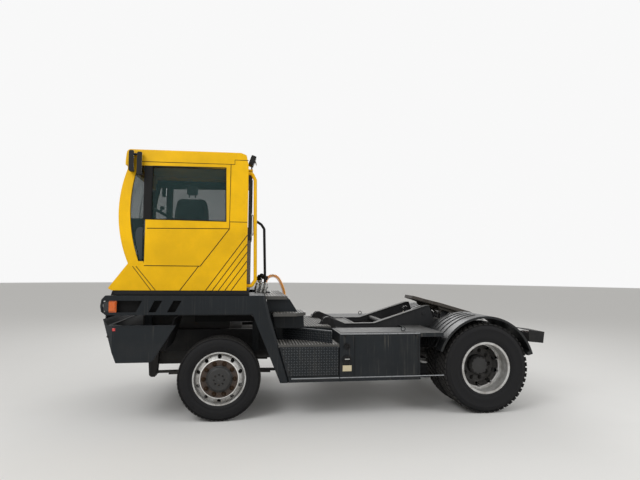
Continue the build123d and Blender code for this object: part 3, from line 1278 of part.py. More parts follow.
def seat_frame():
    """Pedestal, pan, the plate behind the backrest and the headrest's posts, turned inward."""
    base = block((SEAT_X - 130, SEAT_X + 130), (SEAT_Y - 130, SEAT_Y + 130), (CAB_FLOOR, PAN_Z[0]))
    base += block((SEAT_X - 220, SEAT_X + 220), (SEAT_Y - 220, SEAT_Y + 220), PAN_Z)
    behind = BACK_Y[0] - SEAT_GAP
    base += block((SEAT_X - 120, SEAT_X + 120), (behind - 15, SEAT_Y - 130), BACK_BRACKET_Z)
    base += block((SEAT_X - 120, SEAT_X + 120), (behind - 15, behind), (BACK_BRACKET_Z[0], BACK_TOP - 110))
    middle = (BACK_Y[0] + BACK_Y[1]) / 2
    for x in (SEAT_X - HEADREST_POST_X, SEAT_X + HEADREST_POST_X):
        base += bar((x, middle, BACK_TOP + SEAT_GAP), (x, middle, HEADREST_Z[0] - SEAT_GAP), 7)
    return base


cushion = block((SEAT_X - SEAT_HALF, SEAT_X + SEAT_HALF), (SEAT_Y - SEAT_HALF, SEAT_Y + SEAT_HALF),
                (PAN_Z[1] + SEAT_GAP, CUSHION_TOP))
headrest = block((SEAT_X - HEADREST_HALF, SEAT_X + HEADREST_HALF), (BACK_Y[0] + 5, BACK_Y[1] - 10),
                 HEADREST_Z)
nodes["seat_cushion"] = rounded_pad(cushion, Axis.Z, 60)
half_back = [(half, BACK_FOOT + share * (BACK_TOP - BACK_FOOT)) for half, share in BACK_OUTLINE]
back_outline = half_back + [(-half, pz) for half, pz in reversed(half_back)]
nodes["seat_back"] = rounded_pad(side_plate(shifted(back_outline, SEAT_X), BACK_Y), Axis.Y, 45)
nodes["seat_back"] += rounded_pad(headrest, Axis.Y, 35)
nodes["seat_frame"] = seat_frame()

COLUMN_FOOT = (NOSE_X + 433, CAB_FLOOR + 534)
COLUMN_TILT = 28
COLUMN_LENGTH = 300
COLUMN_R = 34
WHEEL_BOSS = 26
WHEEL_RIM_R = 215


def on_column(distance):
    """A point on the steering column's axis."""
    lean = math.radians(COLUMN_TILT)
    return COLUMN_FOOT[0] + distance * math.sin(lean), SEAT_Y, COLUMN_FOOT[1] + distance * math.cos(lean)


def dashboard():
    """The dash shelf behind the windscreen and the steering column."""
    foot = CAB_FLOOR + 250
    shelf = [(300, foot), (400, foot + 290), (450, foot + 320), (520, foot + 300), (540, foot + 210),
             (400, foot)]
    dash = side_plate(shifted(shelf, NOSE_X), (inside_y[0] + 10, inside_y[1] - 10))
    dash += block((NOSE_X + 300, NOSE_X + 400), (SEAT_Y - 120, SEAT_Y + 120), (CAB_FLOOR, foot))
    return dash + bar(on_column(0), on_column(COLUMN_LENGTH), COLUMN_R)


def steering_wheel():
    """The rim, hub and spokes, tilted to the driver."""
    wheel = Torus(WHEEL_RIM_R, 14) + Cylinder(42, WHEEL_BOSS)
    for angle in (90, 210, 330):
        wheel += Rot(0, 0, angle) * Pos(110, 0, 0) * Box(200, 34, 12)
    return Pos(*on_column(COLUMN_LENGTH + WHEEL_BOSS / 2)) * Rot(0, COLUMN_TILT, 0) * wheel


nodes["dashboard"] = dashboard()
nodes["steering_wheel"] = steering_wheel()

HANDRAIL_R = 19
HANDRAIL_Y = CAB_LEFT + 70
HANDRAIL_Z = (CAB_BASE + 50, CAB_EAVES - 78)
HANDRAIL = shifted([(0, HANDRAIL_Z[1]), (40, HANDRAIL_Z[1]), (76, HANDRAIL_Z[1] - 72), (94, HANDRAIL_Z[0] + 64),
                    (55, HANDRAIL_Z[0]), (0, HANDRAIL_Z[0])], CAB_REAR_X)
nodes["cab_handrail"] = bent_tube([(px, HANDRAIL_Y, pz) for px, pz in HANDRAIL], HANDRAIL_R, 30)

LIGHT_X = CAB_REAR_X + 42
LIGHT_Y = CAB_LEFT + 220
LIGHT_Z = CAB_EAVES + 95
LIGHT_TILT = 20


def work_light():
    """A lamp tilted down to the coupling, on a stem and foot."""
    lamp = fillet(Box(58, 120, 114).edges().filter_by(Axis.Y), 10)
    light = Pos(LIGHT_X, LIGHT_Y, LIGHT_Z) * Rot(0, LIGHT_TILT, 0) * lamp
    light += bar((LIGHT_X - 7, LIGHT_Y, CAB_EAVES - 11), (LIGHT_X - 7, LIGHT_Y, LIGHT_Z), 8)
    return light + block((CAB_REAR_X, LIGHT_X + 1), (LIGHT_Y - 15, LIGHT_Y + 15),
                         (CAB_EAVES - 19, CAB_EAVES - 11))


nodes["work_light"] = work_light()

MIRROR_X = NOSE_X + 300
MIRROR_Z = CAB_EAVES + 60
MIRROR_HEADS = [
    # place along the arm, foot and top from the arm's height
    (-28, -188, 36),
    (55, -221, 22),
]


def mirrors():
    """A long-armed mirror with two heads at each front corner of the cab."""
    piece = None
    for y, out in ((CAB_LEFT, -50), (CAB_RIGHT, 50)):
        arm = bar((MIRROR_X, y, MIRROR_Z), (MIRROR_X, y + out, MIRROR_Z), 11)
        arm += bar((MIRROR_X - 30, y + out, MIRROR_Z), (MIRROR_X + 60, y + out, MIRROR_Z), 11)
        for along, foot, top in MIRROR_HEADS:
            x = MIRROR_X + along
            head = block((x - 26, x + 26), (y + out - 30, y + out + 30), (MIRROR_Z + foot, MIRROR_Z + top))
            arm += fillet(head.edges().filter_by(Axis.Y), 16)
        piece = arm if piece is None else piece + arm
    return piece


nodes["mirrors"] = mirrors()

# Mast and air hose behind the cab

STAND_X = PLATFORM_X[0]
MAST_Y = -300
MAST_R = 17
MAST = [(STAND_X + 18, PLATFORM_TOP + 8), (STAND_X - 7, 2163), (STAND_X - 45, 2220), (CAB_REAR_X + 115, 2259)]
HOSE_Y = -100
HOSE_COIL_R = 24
SOCKET_R = 20
SOCKETS = [
    # from the stand, height of the upper and lower end
    (30, 1440, 1420),
    (285, 1210, 1190),
]
HOSE_LINE = [(30, 1440), (30, 1490), (55, 1533), (98, 1558), (148, 1558), (191, 1533), (223, 1482), (258, 1405),
             (285, 1310), (285, 1210)]
HOSE_ROUTE = [(px, HOSE_Y, pz) for px, pz in shifted(HOSE_LINE, STAND_X)]


def hose_radii(route):
    """For each corner, the largest arc that its two runs allow."""
    radii = []
    for before, here, after in zip(route, route[1:], route[2:]):
        into = Vector(*here) - Vector(*before)
        out = Vector(*after) - Vector(*here)
        turn = math.radians(into.get_angle(out))
        radii.append(0.45 * min(into.length, out.length) / math.tan(turn / 2))
    return radii


def hose_coil():
    """The curly air hose as one fat tube."""
    radii = hose_radii(HOSE_ROUTE)
    path = FilletPolyline(*HOSE_ROUTE, radius=radii)
    tube = sweep(Plane(origin=path @ 0, z_dir=path % 0) * Circle(HOSE_COIL_R), path=path)
    print("hose radii", [round(r) for r in radii], "length", round(path.length),
          "volume ratio", round(tube.volume / (math.pi * HOSE_COIL_R ** 2 * path.length), 4))
    return tube


nodes["air_hose_coil"] = hose_coil()


def hose_stand():
    """The mast with its foot, the upright panel with a shelf, and the two sockets of the hose."""
    x = STAND_X
    stand = bent_tube([(px, MAST_Y, pz) for px, pz in MAST], MAST_R, 30)
    stand += block((x, x + 80), (MAST_Y - 30, 60), (PLATFORM_TOP, PLATFORM_TOP + 12))
    stand += block((x, x + SHEET), (MAST_Y + 40, 60), (PLATFORM_TOP, 1440))
    near = (HOSE_Y - 40, HOSE_Y + 40)
    stand += block((x, x + 60), near, (1392, 1420))
    for along, high, low in SOCKETS:
        stand += bar((x + along, HOSE_Y, low), (x + along, HOSE_Y, high), SOCKET_R)
    stand += block((x + 240, x + 310), near, (1170, 1190))
    return stand + block((x + 240, x + 248), near, (1180, PLATFORM_TOP - TREAD))


nodes["hose_stand"] = hose_stand()

# Air cleaner and exhaust to the right of the cab

CLEANER_X = CAB_REAR_X - 600
CLEANER_Y = 720
STACK_X = CAB_REAR_X - 50
STACK_Y = 560


def upright(x, y, sections):
    """Round sections that stand on each other, each a radius and the height of its top."""
    low = FENDER_TOP
    piece = None
    for radius, top in sections:
        section = bar((x, y, low), (x, y, top), radius)
        piece = section if piece is None else piece + section
        low = top
    return piece


nodes["air_cleaner"] = upright(CLEANER_X, CLEANER_Y,
                               [(100, FENDER_TOP + 30), (160, 1950), (60, 2060), (110, 2150)])
nodes["exhaust_stack"] = upright(STACK_X, STACK_Y, [(95, 2250), (50, 2700)])

for name, shape in nodes.items():
    export_step(shape, f"parts/{name}.step")
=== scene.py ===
import math

import bmesh
import bpy
from mathutils import Matrix, Vector


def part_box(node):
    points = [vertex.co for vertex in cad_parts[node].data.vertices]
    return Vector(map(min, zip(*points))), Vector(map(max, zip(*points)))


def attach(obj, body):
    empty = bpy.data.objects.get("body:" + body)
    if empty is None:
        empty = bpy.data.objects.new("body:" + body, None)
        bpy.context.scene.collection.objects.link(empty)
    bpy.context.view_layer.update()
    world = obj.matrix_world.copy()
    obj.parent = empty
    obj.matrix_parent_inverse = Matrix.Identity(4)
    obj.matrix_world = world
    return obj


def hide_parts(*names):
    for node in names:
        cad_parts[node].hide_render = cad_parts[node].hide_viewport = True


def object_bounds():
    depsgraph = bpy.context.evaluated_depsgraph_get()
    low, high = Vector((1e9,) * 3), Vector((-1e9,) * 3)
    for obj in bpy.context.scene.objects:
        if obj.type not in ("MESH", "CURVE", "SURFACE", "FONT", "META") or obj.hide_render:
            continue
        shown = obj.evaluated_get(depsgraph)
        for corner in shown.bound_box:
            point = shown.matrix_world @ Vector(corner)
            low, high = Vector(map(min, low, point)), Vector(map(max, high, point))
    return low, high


bl_info = {
    "name": "Terminal tractor dressing",
    "version": (1, 0, 0),
    "blender": (4, 5, 0),
    "location": "View3D > Sidebar > Tractor",
    "description": "Gives the packed terminal tractor its paint, tyres, hose, seat and small parts",
    "category": "Object",
}

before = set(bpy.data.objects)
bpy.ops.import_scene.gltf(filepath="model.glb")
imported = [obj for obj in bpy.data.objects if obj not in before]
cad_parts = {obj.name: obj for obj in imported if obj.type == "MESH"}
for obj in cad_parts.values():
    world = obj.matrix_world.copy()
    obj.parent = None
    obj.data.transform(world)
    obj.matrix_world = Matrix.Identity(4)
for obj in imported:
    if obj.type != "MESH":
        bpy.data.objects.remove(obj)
CAD_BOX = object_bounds()


def node_box(node):
    """The lowest and highest corner of a CAD node as vectors."""
    low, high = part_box(node)
    return Vector(low), Vector(high)


SIDES = (("left", -1), ("right", 1))

# Wheels, read from the frame
FRONT_TYRE_BOX = node_box("front_left_tyre")
REAR_TYRE_BOX = node_box("rear_left_tyres")
FRONT_AXLE = (FRONT_TYRE_BOX[0] + FRONT_TYRE_BOX[1]) / 2
REAR_AXLE = (REAR_TYRE_BOX[0] + REAR_TYRE_BOX[1]) / 2
FRONT_TYRE_R = (FRONT_TYRE_BOX[1].z - FRONT_TYRE_BOX[0].z) / 2
REAR_TYRE_R = (REAR_TYRE_BOX[1].z - REAR_TYRE_BOX[0].z) / 2
FRONT_TYRE_W = FRONT_TYRE_BOX[1].y - FRONT_TYRE_BOX[0].y
TWIN_SPACING = 0.33
REAR_TYRE_W = REAR_TYRE_BOX[1].y - REAR_TYRE_BOX[0].y - TWIN_SPACING

# The photograph's camera
CAMERA_PLACE = (-1.098, -6.549, 1.625)
CAMERA_YAW = 8.59
CAMERA_PITCH = 3.70
CAMERA_ROLL = -0.48
CAMERA_LENS = 27.02
SENSOR_WIDTH = 36.0


# Shader expressions

class Value:
    """A node's output that can be used in arithmetic."""

    def __init__(self, shade, socket):
        self.shade = shade
        self.socket = socket

    def _math(self, operation, *others):
        inputs = {0: self}
        inputs.update({place + 1: other for place, other in enumerate(others)})
        return self.shade.node("ShaderNodeMath", {"operation": operation}, inputs)

    def _reflected(self, operation, other):
        return self.shade.node("ShaderNodeMath", {"operation": operation}, {0: other, 1: self})

    def __add__(self, other):
        return self._math("ADD", other)

    def __sub__(self, other):
        return self._math("SUBTRACT", other)

    def __mul__(self, other):
        return self._math("MULTIPLY", other)

    def __truediv__(self, other):
        return self._math("DIVIDE", other)

    def __pow__(self, other):
        return self._math("POWER", other)

    def __radd__(self, other):
        return self._reflected("ADD", other)

    def __rsub__(self, other):
        return self._reflected("SUBTRACT", other)

    def __rmul__(self, other):
        return self._reflected("MULTIPLY", other)

    def __rtruediv__(self, other):
        return self._reflected("DIVIDE", other)

    def __gt__(self, other):
        return self._math("GREATER_THAN", other)

    def __lt__(self, other):
        return self._math("LESS_THAN", other)

    def __abs__(self):
        return self._math("ABSOLUTE")

    def sine(self):
        return self._math("SINE")

    def root(self):
        return self._math("SQRT")

    def larger(self, other):
        return self._math("MAXIMUM", other)

    def smaller(self, other):
        return self._math("MINIMUM", other)

    def clamped(self):
        return self.smaller(1.0).larger(0.0)

    def rising(self, low, high):
        """0 below the low value, 1 above the high one, with a soft step between."""
        return self.shade.node("ShaderNodeMapRange", {"interpolation_type": "SMOOTHSTEP"},
                               {"Value": self, "From Min": low, "From Max": high}, "Result")

    def falling(self, low, high):
        return 1 - self.rising(low, high)


class Shade:
    """One material with its nodes, wired by expressions."""

    def __init__(self, name):
        self.material = bpy.data.materials.new(name)
        self.material.use_nodes = True
        self.tree = self.material.node_tree
        self.tree.nodes.clear()
        self._axes = None

    def node(self, kind, settings, inputs, output=0):
        """Adds a node, sets it up, then gives its sockets their values or links."""
        made = self.tree.nodes.new(kind)
        for key, setting in settings.items():
            if key == "stops":
                for stop, (place, colour) in zip(made.color_ramp.elements, setting):
                    stop.position = place
                    stop.color = colour
            else:
                setattr(made, key, setting)
        for key, given in inputs.items():
            if isinstance(given, Value):
                self.tree.links.new(given.socket, made.inputs[key])
            else:
                made.inputs[key].default_value = given
        return Value(self, made.outputs[output])

    def place(self):
        """The surface point in the vehicle's own frame, in metres."""
        return self.node("ShaderNodeTexCoord", {}, {}, "Object")

    def axes(self):
        """The point's x, y and z."""
        if self._axes is None:
            point = self.place()
            self._axes = [self.node("ShaderNodeSeparateXYZ", {}, {0: point}, axis) for axis in "XYZ"]
        return self._axes

    def facing(self, axis):
        """How far the surface faces along an axis of the vehicle."""
        normal = self.node("ShaderNodeTexCoord", {}, {}, "Normal")
        return self.node("ShaderNodeSeparateXYZ", {}, {0: normal}, axis)

    def stretched(self, scale, turn=(0.0, 0.0, 0.0), shift=(0.0, 0.0, 0.0)):
        """The point scaled, turned and moved, for a pattern that runs one way."""
        return self.node("ShaderNodeMapping", {}, {"Vector": self.place(), "Scale": scale, "Rotation": turn,
                                                   "Location": shift})

    def speckle(self, scale, detail=4.0, rough=0.5, point=None):
        """Soft noise from 0 to 1."""
        return self.node("ShaderNodeTexNoise", {}, {"Vector": point or self.place(), "Scale": scale, "Detail": detail,
                                                    "Roughness": rough})

    def cells(self, scale, feature="F1", point=None):
        """Distance to the nearest of many scattered points."""
        return self.node("ShaderNodeTexVoronoi", {"feature": feature},
                         {"Vector": point or self.place(), "Scale": scale}, "Distance")

    def mix(self, amount, first, second):
        """The first colour where amount is 0, the second where it is 1."""
        return self.node("ShaderNodeMix", {"data_type": "RGBA"}, {0: amount, 6: first, 7: second}, 2)

    def edge(self, radius, samples=4):
        """A normal rounded over the edges by a radius, and a mask that is 1 on the edges."""
        rounded = self.node("ShaderNodeBevel", {"samples": samples}, {"Radius": radius})
        plain = self.node("ShaderNodeNewGeometry", {}, {}, "Normal")
        along = self.node("ShaderNodeVectorMath", {"operation": "DOT_PRODUCT"}, {0: rounded, 1: plain}, "Value")
        return rounded, (1 - along).rising(0.02, 0.25)

    def bump(self, height, distance, strength=1.0, normal=None):
        inputs = {"Height": height, "Distance": distance, "Strength": strength}
        if normal is not None:
            inputs["Normal"] = normal
        return self.node("ShaderNodeBump", {}, inputs)

    def finish(self, sockets):
        """Closes the material with its surface shader, whose sockets are given by name."""
        surface = self.node("ShaderNodeBsdfPrincipled", {}, sockets)
        out = self.tree.nodes.new("ShaderNodeOutputMaterial")
        self.tree.links.new(surface.socket, out.inputs["Surface"])
        return self.material


# Finishes

DUST = (0.23, 0.205, 0.17, 1.0)
RUST = (0.085, 0.032, 0.012, 1.0)


def colour4(rgb):
    return (rgb[0], rgb[1], rgb[2], 1.0)


def shade_of(rgb, amount):
    """A colour made lighter or darker by a factor."""
    return (min(rgb[0] * amount, 1.0), min(rgb[1] * amount, 1.0), min(rgb[2] * amount, 1.0), 1.0)


def road_dust(shade, reach, strength):
    """Dust that lies on what faces up and thickens towards the ground."""
    up = shade.facing("Z").rising(0.35, 0.95)
    patches = shade.speckle(3.5, 6.0, 0.62).rising(0.38, 0.72)
    low = shade.axes()[2].falling(0.15, reach)
    fine = shade.speckle(60.0, 5.0, 0.7).rising(0.3, 0.8)
    return ((up * 0.75 + low * 0.55) * patches * (0.45 + 0.55 * fine) * strength).clamped()


def rain_streaks(shade, strength):
    """Vertical runs of dried rain on what stands upright."""
    upright = abs(shade.facing("Z")).falling(0.3, 0.7)
    runs = shade.speckle(1.0, 3.0, 0.6, shade.stretched((55.0, 55.0, 1.6))).rising(0.52, 0.78)
    broken = shade.speckle(4.0, 4.0).rising(0.3, 0.7)
    return upright * runs * broken * strength


# The space that the cab's inner faces bound
ROOM_Y = (-1.2, 0.21)
ROOM_Z = (1.43, 2.84)
ROOM_REAR_X = -1.115
WALL_FELT_X = -2.52
ROOF_FELT_X = -2.32


def cab_inside(shade, front):
    """1 on what faces the driver behind a place along X, 0 on the cab's outer skin."""
    x, y, z = shade.axes()
    between = (y > ROOM_Y[0]) * (y < ROOM_Y[1]) * (x > front) * (x < ROOM_REAR_X)
    return between * (z > ROOM_Z[0]) * (z < ROOM_Z[1])


def painted(name, rgb, roughness, coat, dust, streaks, reach=1.3, edge_glint=0.35, grain=0.0006, lining=None,
            grey_top=0.0):
    """Paint on steel: slight mottling, painted highlights on the edges, dust, streaks and a fine orange peel.

    Dust reaches up to a height, the top can be made lighter grey in patches, and behind a place along X the inside is
    felt.
    """
    shade = Shade(name)
    mottle = shade.speckle(2.2, 5.0, 0.6)
    rounded, edge = shade.edge(0.004)
    # painted highlight: edges lightened to 2.4 times the paint's tone, broken up by noise
    glinting_edges = edge * shade.speckle(38.0, 5.0, 0.65).rising(0.45, 0.7) * edge_glint
    colour = shade.mix(mottle.rising(0.3, 0.75), shade_of(rgb, 0.86), shade_of(rgb, 1.1))
    colour = shade.mix(glinting_edges, colour, shade_of(rgb, 2.4))
    runs = rain_streaks(shade, streaks)
    colour = shade.mix(runs, colour, DUST)
    if grey_top:
        # up-facing surfaces made lighter grey in noisy patches
        top = shade.facing("Z").rising(0.6, 0.9) * shade.speckle(18.0, 7.0, 0.7).rising(0.3, 0.7) * grey_top
        colour = shade.mix(top, colour, (0.13, 0.128, 0.122, 1.0))
    film = road_dust(shade, reach, dust)
    colour = shade.mix(film, colour, DUST)
    peel = shade.speckle(420.0, 2.0) * 0.5 + shade.speckle(90.0, 3.0) * 0.5 + film * 0.8
    matt = roughness + film * 0.45 + runs * 0.25 + mottle * 0.06
    gloss = coat - film * coat
    if lining is not None:
        inside = cab_inside(shade, lining)
        felt = shade.mix(shade.speckle(420.0, 6.0, 0.75), (0.004, 0.0045, 0.005, 1.0), (0.013, 0.014, 0.015, 1.0))
        colour = shade.mix(inside, colour, felt)
        matt = matt + inside * 0.6
        gloss = gloss * (1 - inside)
    return shade.finish({
        "Base Color": colour,
        "Roughness": matt.clamped(),
        "Coat Weight": gloss.clamped() if coat else 0.0,
        "Coat Roughness": 0.12,
        "Specular IOR Level": 0.2,
        "Normal": shade.bump(peel, grain, 0.5, rounded),
    })


def yellow_paint(settings, name, lining):
    """The cab's glossy yellow, a little dusty along its foot, with dark felt inside where it is lined."""
    return painted(name, settings.cab_colour, roughness=0.36, coat=0.08, dust=0.06, streaks=0.03, reach=1.75,
                   edge_glint=0.06, grain=0.0003, lining=lining)


def anthracite_paint(settings):
    """Satin anthracite sheet metal with dried streaks."""
    return painted("anthracite_sheet", settings.sheet_colour, roughness=0.44, coat=0.04, dust=0.15, streaks=0.12,
                   edge_glint=0.5)


def box_paint(settings):
    """The side boxes' anthracite, streaked on its flanks, with painted highlights on its edges and lighter grey patches
    on top.
    """
    return painted("box_sheet", settings.sheet_colour, roughness=0.46, coat=0.04, dust=0.16, streaks=0.3, edge_glint=0.9,
                   grey_top=0.6)


def chassis_paint(settings):
    """Black frame paint under road dust."""
    return painted("chassis_black", settings.chassis_colour, roughness=0.5, coat=0.0, dust=0.4, streaks=0.1,
                   edge_glint=0.4, grain=0.001)


def cast_iron_paint():
    """Black castings with a rough skin, dust and a little rust."""
    shade = Shade("casting_black")
    skin = shade.speckle(160.0, 6.0, 0.7)
    rounded, edge = shade.edge(0.005)
    rusty = shade.speckle(9.0, 7.0, 0.7).rising(0.56, 0.74)
    colour = shade.mix(rusty * 0.55, (0.016, 0.015, 0.014, 1.0), RUST)
    # painted highlight: edges lightened
    colour = shade.mix(edge * 0.25, colour, (0.07, 0.065, 0.06, 1.0))
    film = road_dust(shade, 1.0, 0.6)
    colour = shade.mix(film, colour, DUST)
    return shade.finish({
        "Base Color": colour, "Roughness": (0.62 + rusty * 0.2 + film * 0.2).clamped(),
        "Normal": shade.bump(skin, 0.0012, 0.6, rounded),
    })


def moulded_plastic():
    """Black plastic with a leather-like grain."""
    shade = Shade("moulded_black")
    grain = shade.cells(900.0)
    rounded, edge = shade.edge(0.003)
    mottle = shade.speckle(6.0, 4.0)
    colour = shade.mix(mottle, (0.006, 0.006, 0.0065, 1.0), (0.012, 0.012, 0.0125, 1.0))
    # painted highlight: edges lightened
    colour = shade.mix(edge * 0.3, colour, (0.04, 0.04, 0.04, 1.0))
    film = road_dust(shade, 0.9, 0.2)
    colour = shade.mix(film, colour, DUST)
    return shade.finish({
        "Base Color": colour, "Roughness": (0.44 + mottle * 0.1 + film * 0.3).clamped(), "Specular IOR Level": 0.22,
        "Normal": shade.bump(grain, 0.0004, 0.35, rounded),
    })


def glossy_fender_plastic():
    """The rear fenders' black plastic, wet-looking, wavy and dusty."""
    shade = Shade("fender_plastic")
    waves = shade.speckle(5.0, 3.0, 0.55)
    rounded, edge = shade.edge(0.006)
    film = road_dust(shade, 1.0, 0.25)
    colour = shade.mix(film, (0.008, 0.009, 0.010, 1.0), DUST)
    # painted highlight: edges lightened
    colour = shade.mix(edge * 0.2, colour, (0.06, 0.06, 0.062, 1.0))
    return shade.finish({
        "Base Color": colour, "Roughness": (0.26 + waves * 0.16 + film * 0.4).clamped(),
        "Specular IOR Level": 0.35, "Normal": shade.bump(waves, 0.008, 0.6, rounded),
    })


def tyre_rubber(name, axle, radius):
    """Rubber with a plain, ringed sidewall, dusty at the tread and where it meets the ground."""
    shade = Shade(name)
    x, _, z = shade.axes()
    across = x - axle.x
    above = z - axle.z
    reach = (across * across + above * above).root()
    rings = (reach * (2 * math.pi / 0.011)).sine() * 0.5 + 0.5
    tread = reach.rising(radius - 0.02, radius - 0.004)
    grime = shade.speckle(14.0, 7.0, 0.68).rising(0.35, 0.75)
    near_ground = reach.rising(radius - 0.09, radius)
    colour = shade.mix(grime * 0.5, (0.006, 0.006, 0.007, 1.0), (0.016, 0.016, 0.016, 1.0))
    colour = shade.mix((tread * 0.3 + near_ground * 0.16 * grime).clamped(), colour, (0.05, 0.047, 0.042, 1.0))
    skin = shade.speckle(300.0, 4.0, 0.7) * 0.4 + rings * reach.falling(radius - 0.08, radius - 0.06) * 0.35
    return shade.finish({
        "Base Color": colour, "Roughness": (0.62 + grime * 0.2 + tread * 0.1).clamped(),
        "Specular IOR Level": 0.22, "Normal": shade.bump(skin, 0.0008, 0.6),
    })


def wheel_finish(name, axle, rings, face_from, ring_tones):
    """Silver rim with a darker nut ring and hub, told apart by the distance from the axle.

    What lies nearer to the vehicle's middle than face_from is the dark inner side.
    """
    hub_r, nut_r, bright_r = rings
    shade = Shade(name)
    x, y, z = shade.axes()
    across = x - axle.x
    above = z - axle.z
    reach = (across * across + above * above).root() + (shade.speckle(45.0, 3.0) - 0.5) * 0.002
    rounded, _ = shade.edge(0.003)
    soot = shade.speckle(11.0, 7.0, 0.66)
    silver = shade.mix(soot.rising(0.35, 0.75), (0.56, 0.56, 0.55, 1.0), (0.3, 0.285, 0.265, 1.0))
    brake = (shade.speckle(30.0, 6.0, 0.7).rising(0.4, 0.8) * reach.falling(bright_r, 0.285)).clamped()
    silver = shade.mix(brake * 0.6, silver, (0.1, 0.075, 0.055, 1.0))
    rusty = shade.mix(shade.speckle(55.0, 7.0, 0.7).rising(0.3, 0.7), colour4(ring_tones[0]), colour4(ring_tones[1]))
    dark = shade.mix(soot, (0.012, 0.012, 0.012, 1.0), (0.03, 0.029, 0.028, 1.0))
    # painted highlight: a thin near-white ring at the rim's lip
    lip_highlight = reach.rising(nut_r, nut_r + 0.003) * reach.falling(bright_r, bright_r + 0.008)
    silver = shade.mix(lip_highlight, silver, (0.82, 0.81, 0.79, 1.0))
    colour = shade.mix(reach.falling(nut_r, nut_r + 0.004), silver, rusty)
    colour = shade.mix(reach.falling(hub_r, hub_r + 0.003), colour, dark)
    inner = abs(y).falling(face_from, face_from + 0.02)
    colour = shade.mix(inner, colour, (0.03, 0.027, 0.025, 1.0))
    metal = (reach.rising(nut_r, nut_r + 0.01) * 0.55 * (1 - inner)).clamped()
    return shade.finish({
        "Base Color": colour, "Metallic": metal, "Roughness": (0.42 + soot * 0.2 + inner * 0.3).clamped(),
        "Normal": shade.bump(shade.speckle(220.0, 4.0, 0.6), 0.0006, 0.4, rounded),
    })


def window_glass():
    """Lightly tinted glass with faint wipe marks."""
    shade = Shade("window_glass")
    film = shade.speckle(2.5, 6.0, 0.6).rising(0.45, 0.85)
    smears = shade.speckle(1.0, 3.0, 0.5, shade.stretched((4.0, 4.0, 26.0))).rising(0.5, 0.9)
    return shade.finish({
        "Base Color": shade.mix(film, (0.010, 0.034, 0.034, 1.0), (0.026, 0.056, 0.055, 1.0)),
        "Roughness": (0.03 + smears * 0.06).clamped(), "Alpha": (0.42 + film * 0.06).clamped(),
        "Specular IOR Level": 0.3,
    })


def lens_plastic(name, rgb, alpha, pitch):
    """A moulded lens with prism ribs and a faint painted glow."""
    shade = Shade(name)
    _, y, z = shade.axes()
    ribs = (y * (2 * math.pi / pitch)).sine() * 0.5 + (z * (2 * math.pi / pitch)).sine() * 0.5
    film = shade.speckle(25.0, 5.0).rising(0.4, 0.8)
    return shade.finish({
        "Base Color": shade.mix(film * 0.3, colour4(rgb), shade_of(rgb, 0.55)),
        "Roughness": (0.1 + film * 0.2).clamped(), "Alpha": alpha, "Coat Weight": 0.6,
        # painted glow: the unlit lens gives off its own colour faintly
        "Emission Color": colour4(rgb), "Emission Strength": 0.04,
        "Normal": shade.bump(ribs, 0.0012, 0.7),
    })


TREAD_LEVELS = (1.340, 1.157, 0.820, 0.955)
RIB_PITCH = 0.034


def tread_metal(levels):
    """Ribbed tread plates: dark between the ribs and rubbed bright on their tops."""
    shade = Shade("tread_plates")
    height = shade.axes()[2]
    tops = None
    for level in levels:
        here = (1 - abs(height - level) * 500.0).clamped()
        tops = here if tops is None else tops.larger(here)
    up = shade.facing("Z").rising(0.5, 0.9)
    rubbed = shade.speckle(26.0, 6.0, 0.65).rising(0.25, 0.6)
    rounded, edge = shade.edge(0.003)
    ribs = (shade.axes()[0] * (2 * math.pi / RIB_PITCH)).sine().rising(0.1, 0.75)
    bright = ((tops * 0.25 + 0.75) * up * ribs * (0.45 + 0.55 * rubbed)).clamped()
    dirt = shade.speckle(8.0, 6.0, 0.7)
    colour = shade.mix(dirt, (0.026, 0.028, 0.031, 1.0), (0.09, 0.085, 0.075, 1.0))
    colour = shade.mix(bright, colour, (0.5, 0.49, 0.46, 1.0))
    # painted highlight: edges lightened
    colour = shade.mix(edge * 0.3, colour, (0.28, 0.28, 0.27, 1.0))
    return shade.finish({
        "Base Color": colour, "Metallic": (bright * 0.4).clamped(), "Roughness": (0.6 - bright * 0.2).clamped(),
        "Normal": shade.bump(ribs * up + shade.speckle(240.0, 4.0) * 0.1, 0.004, 0.6, rounded),
    })


def bare_metal(name, rgb, roughness, dirt):
    """Bare metal with fine scratches and grime."""
    shade = Shade(name)
    scratches = shade.speckle(1.0, 3.0, 0.6, shade.stretched((60.0, 900.0, 60.0), (0.3, 0.2, 0.5)))
    grime = shade.speckle(35.0, 6.0, 0.7).rising(0.45, 0.8) * dirt
    rounded, _ = shade.edge(0.0015)
    colour = shade.mix(grime, colour4(rgb), (0.05, 0.042, 0.035, 1.0))
    return shade.finish({
        "Base Color": colour, "Metallic": (1 - grime).clamped(),
        "Roughness": (roughness + scratches * 0.12 + grime * 0.4).clamped(),
        "Normal": shade.bump(scratches, 0.0002, 0.4, rounded),
    })


def greased_iron():
    """The coupling plate's iron, black with grease that lies in thick smears."""
    shade = Shade("greased_iron")
    smears = shade.speckle(1.0, 5.0, 0.62, shade.stretched((7.0, 22.0, 22.0)))
    lumps = shade.speckle(48.0, 5.0, 0.6)
    greasy = (shade.facing("Z").rising(0.2, 0.8) * smears.rising(0.4, 0.6)).clamped()
    rounded, edge = shade.edge(0.006)
    iron = shade.mix(shade.speckle(13.0, 6.0, 0.7), (0.022, 0.02, 0.018, 1.0), (0.075, 0.062, 0.05, 1.0))
    colour = shade.mix(greasy, iron, (0.007, 0.0065, 0.006, 1.0))
    # painted highlight: edges lightened where there is no grease
    colour = shade.mix(edge * (1 - greasy) * 0.4, colour, (0.14, 0.13, 0.12, 1.0))
    return shade.finish({
        "Base Color": colour, "Roughness": (0.62 - greasy * 0.42).clamped(),
        "Normal": shade.bump(smears * 0.6 + lumps * 0.4, 0.005, 0.7, rounded),
    })


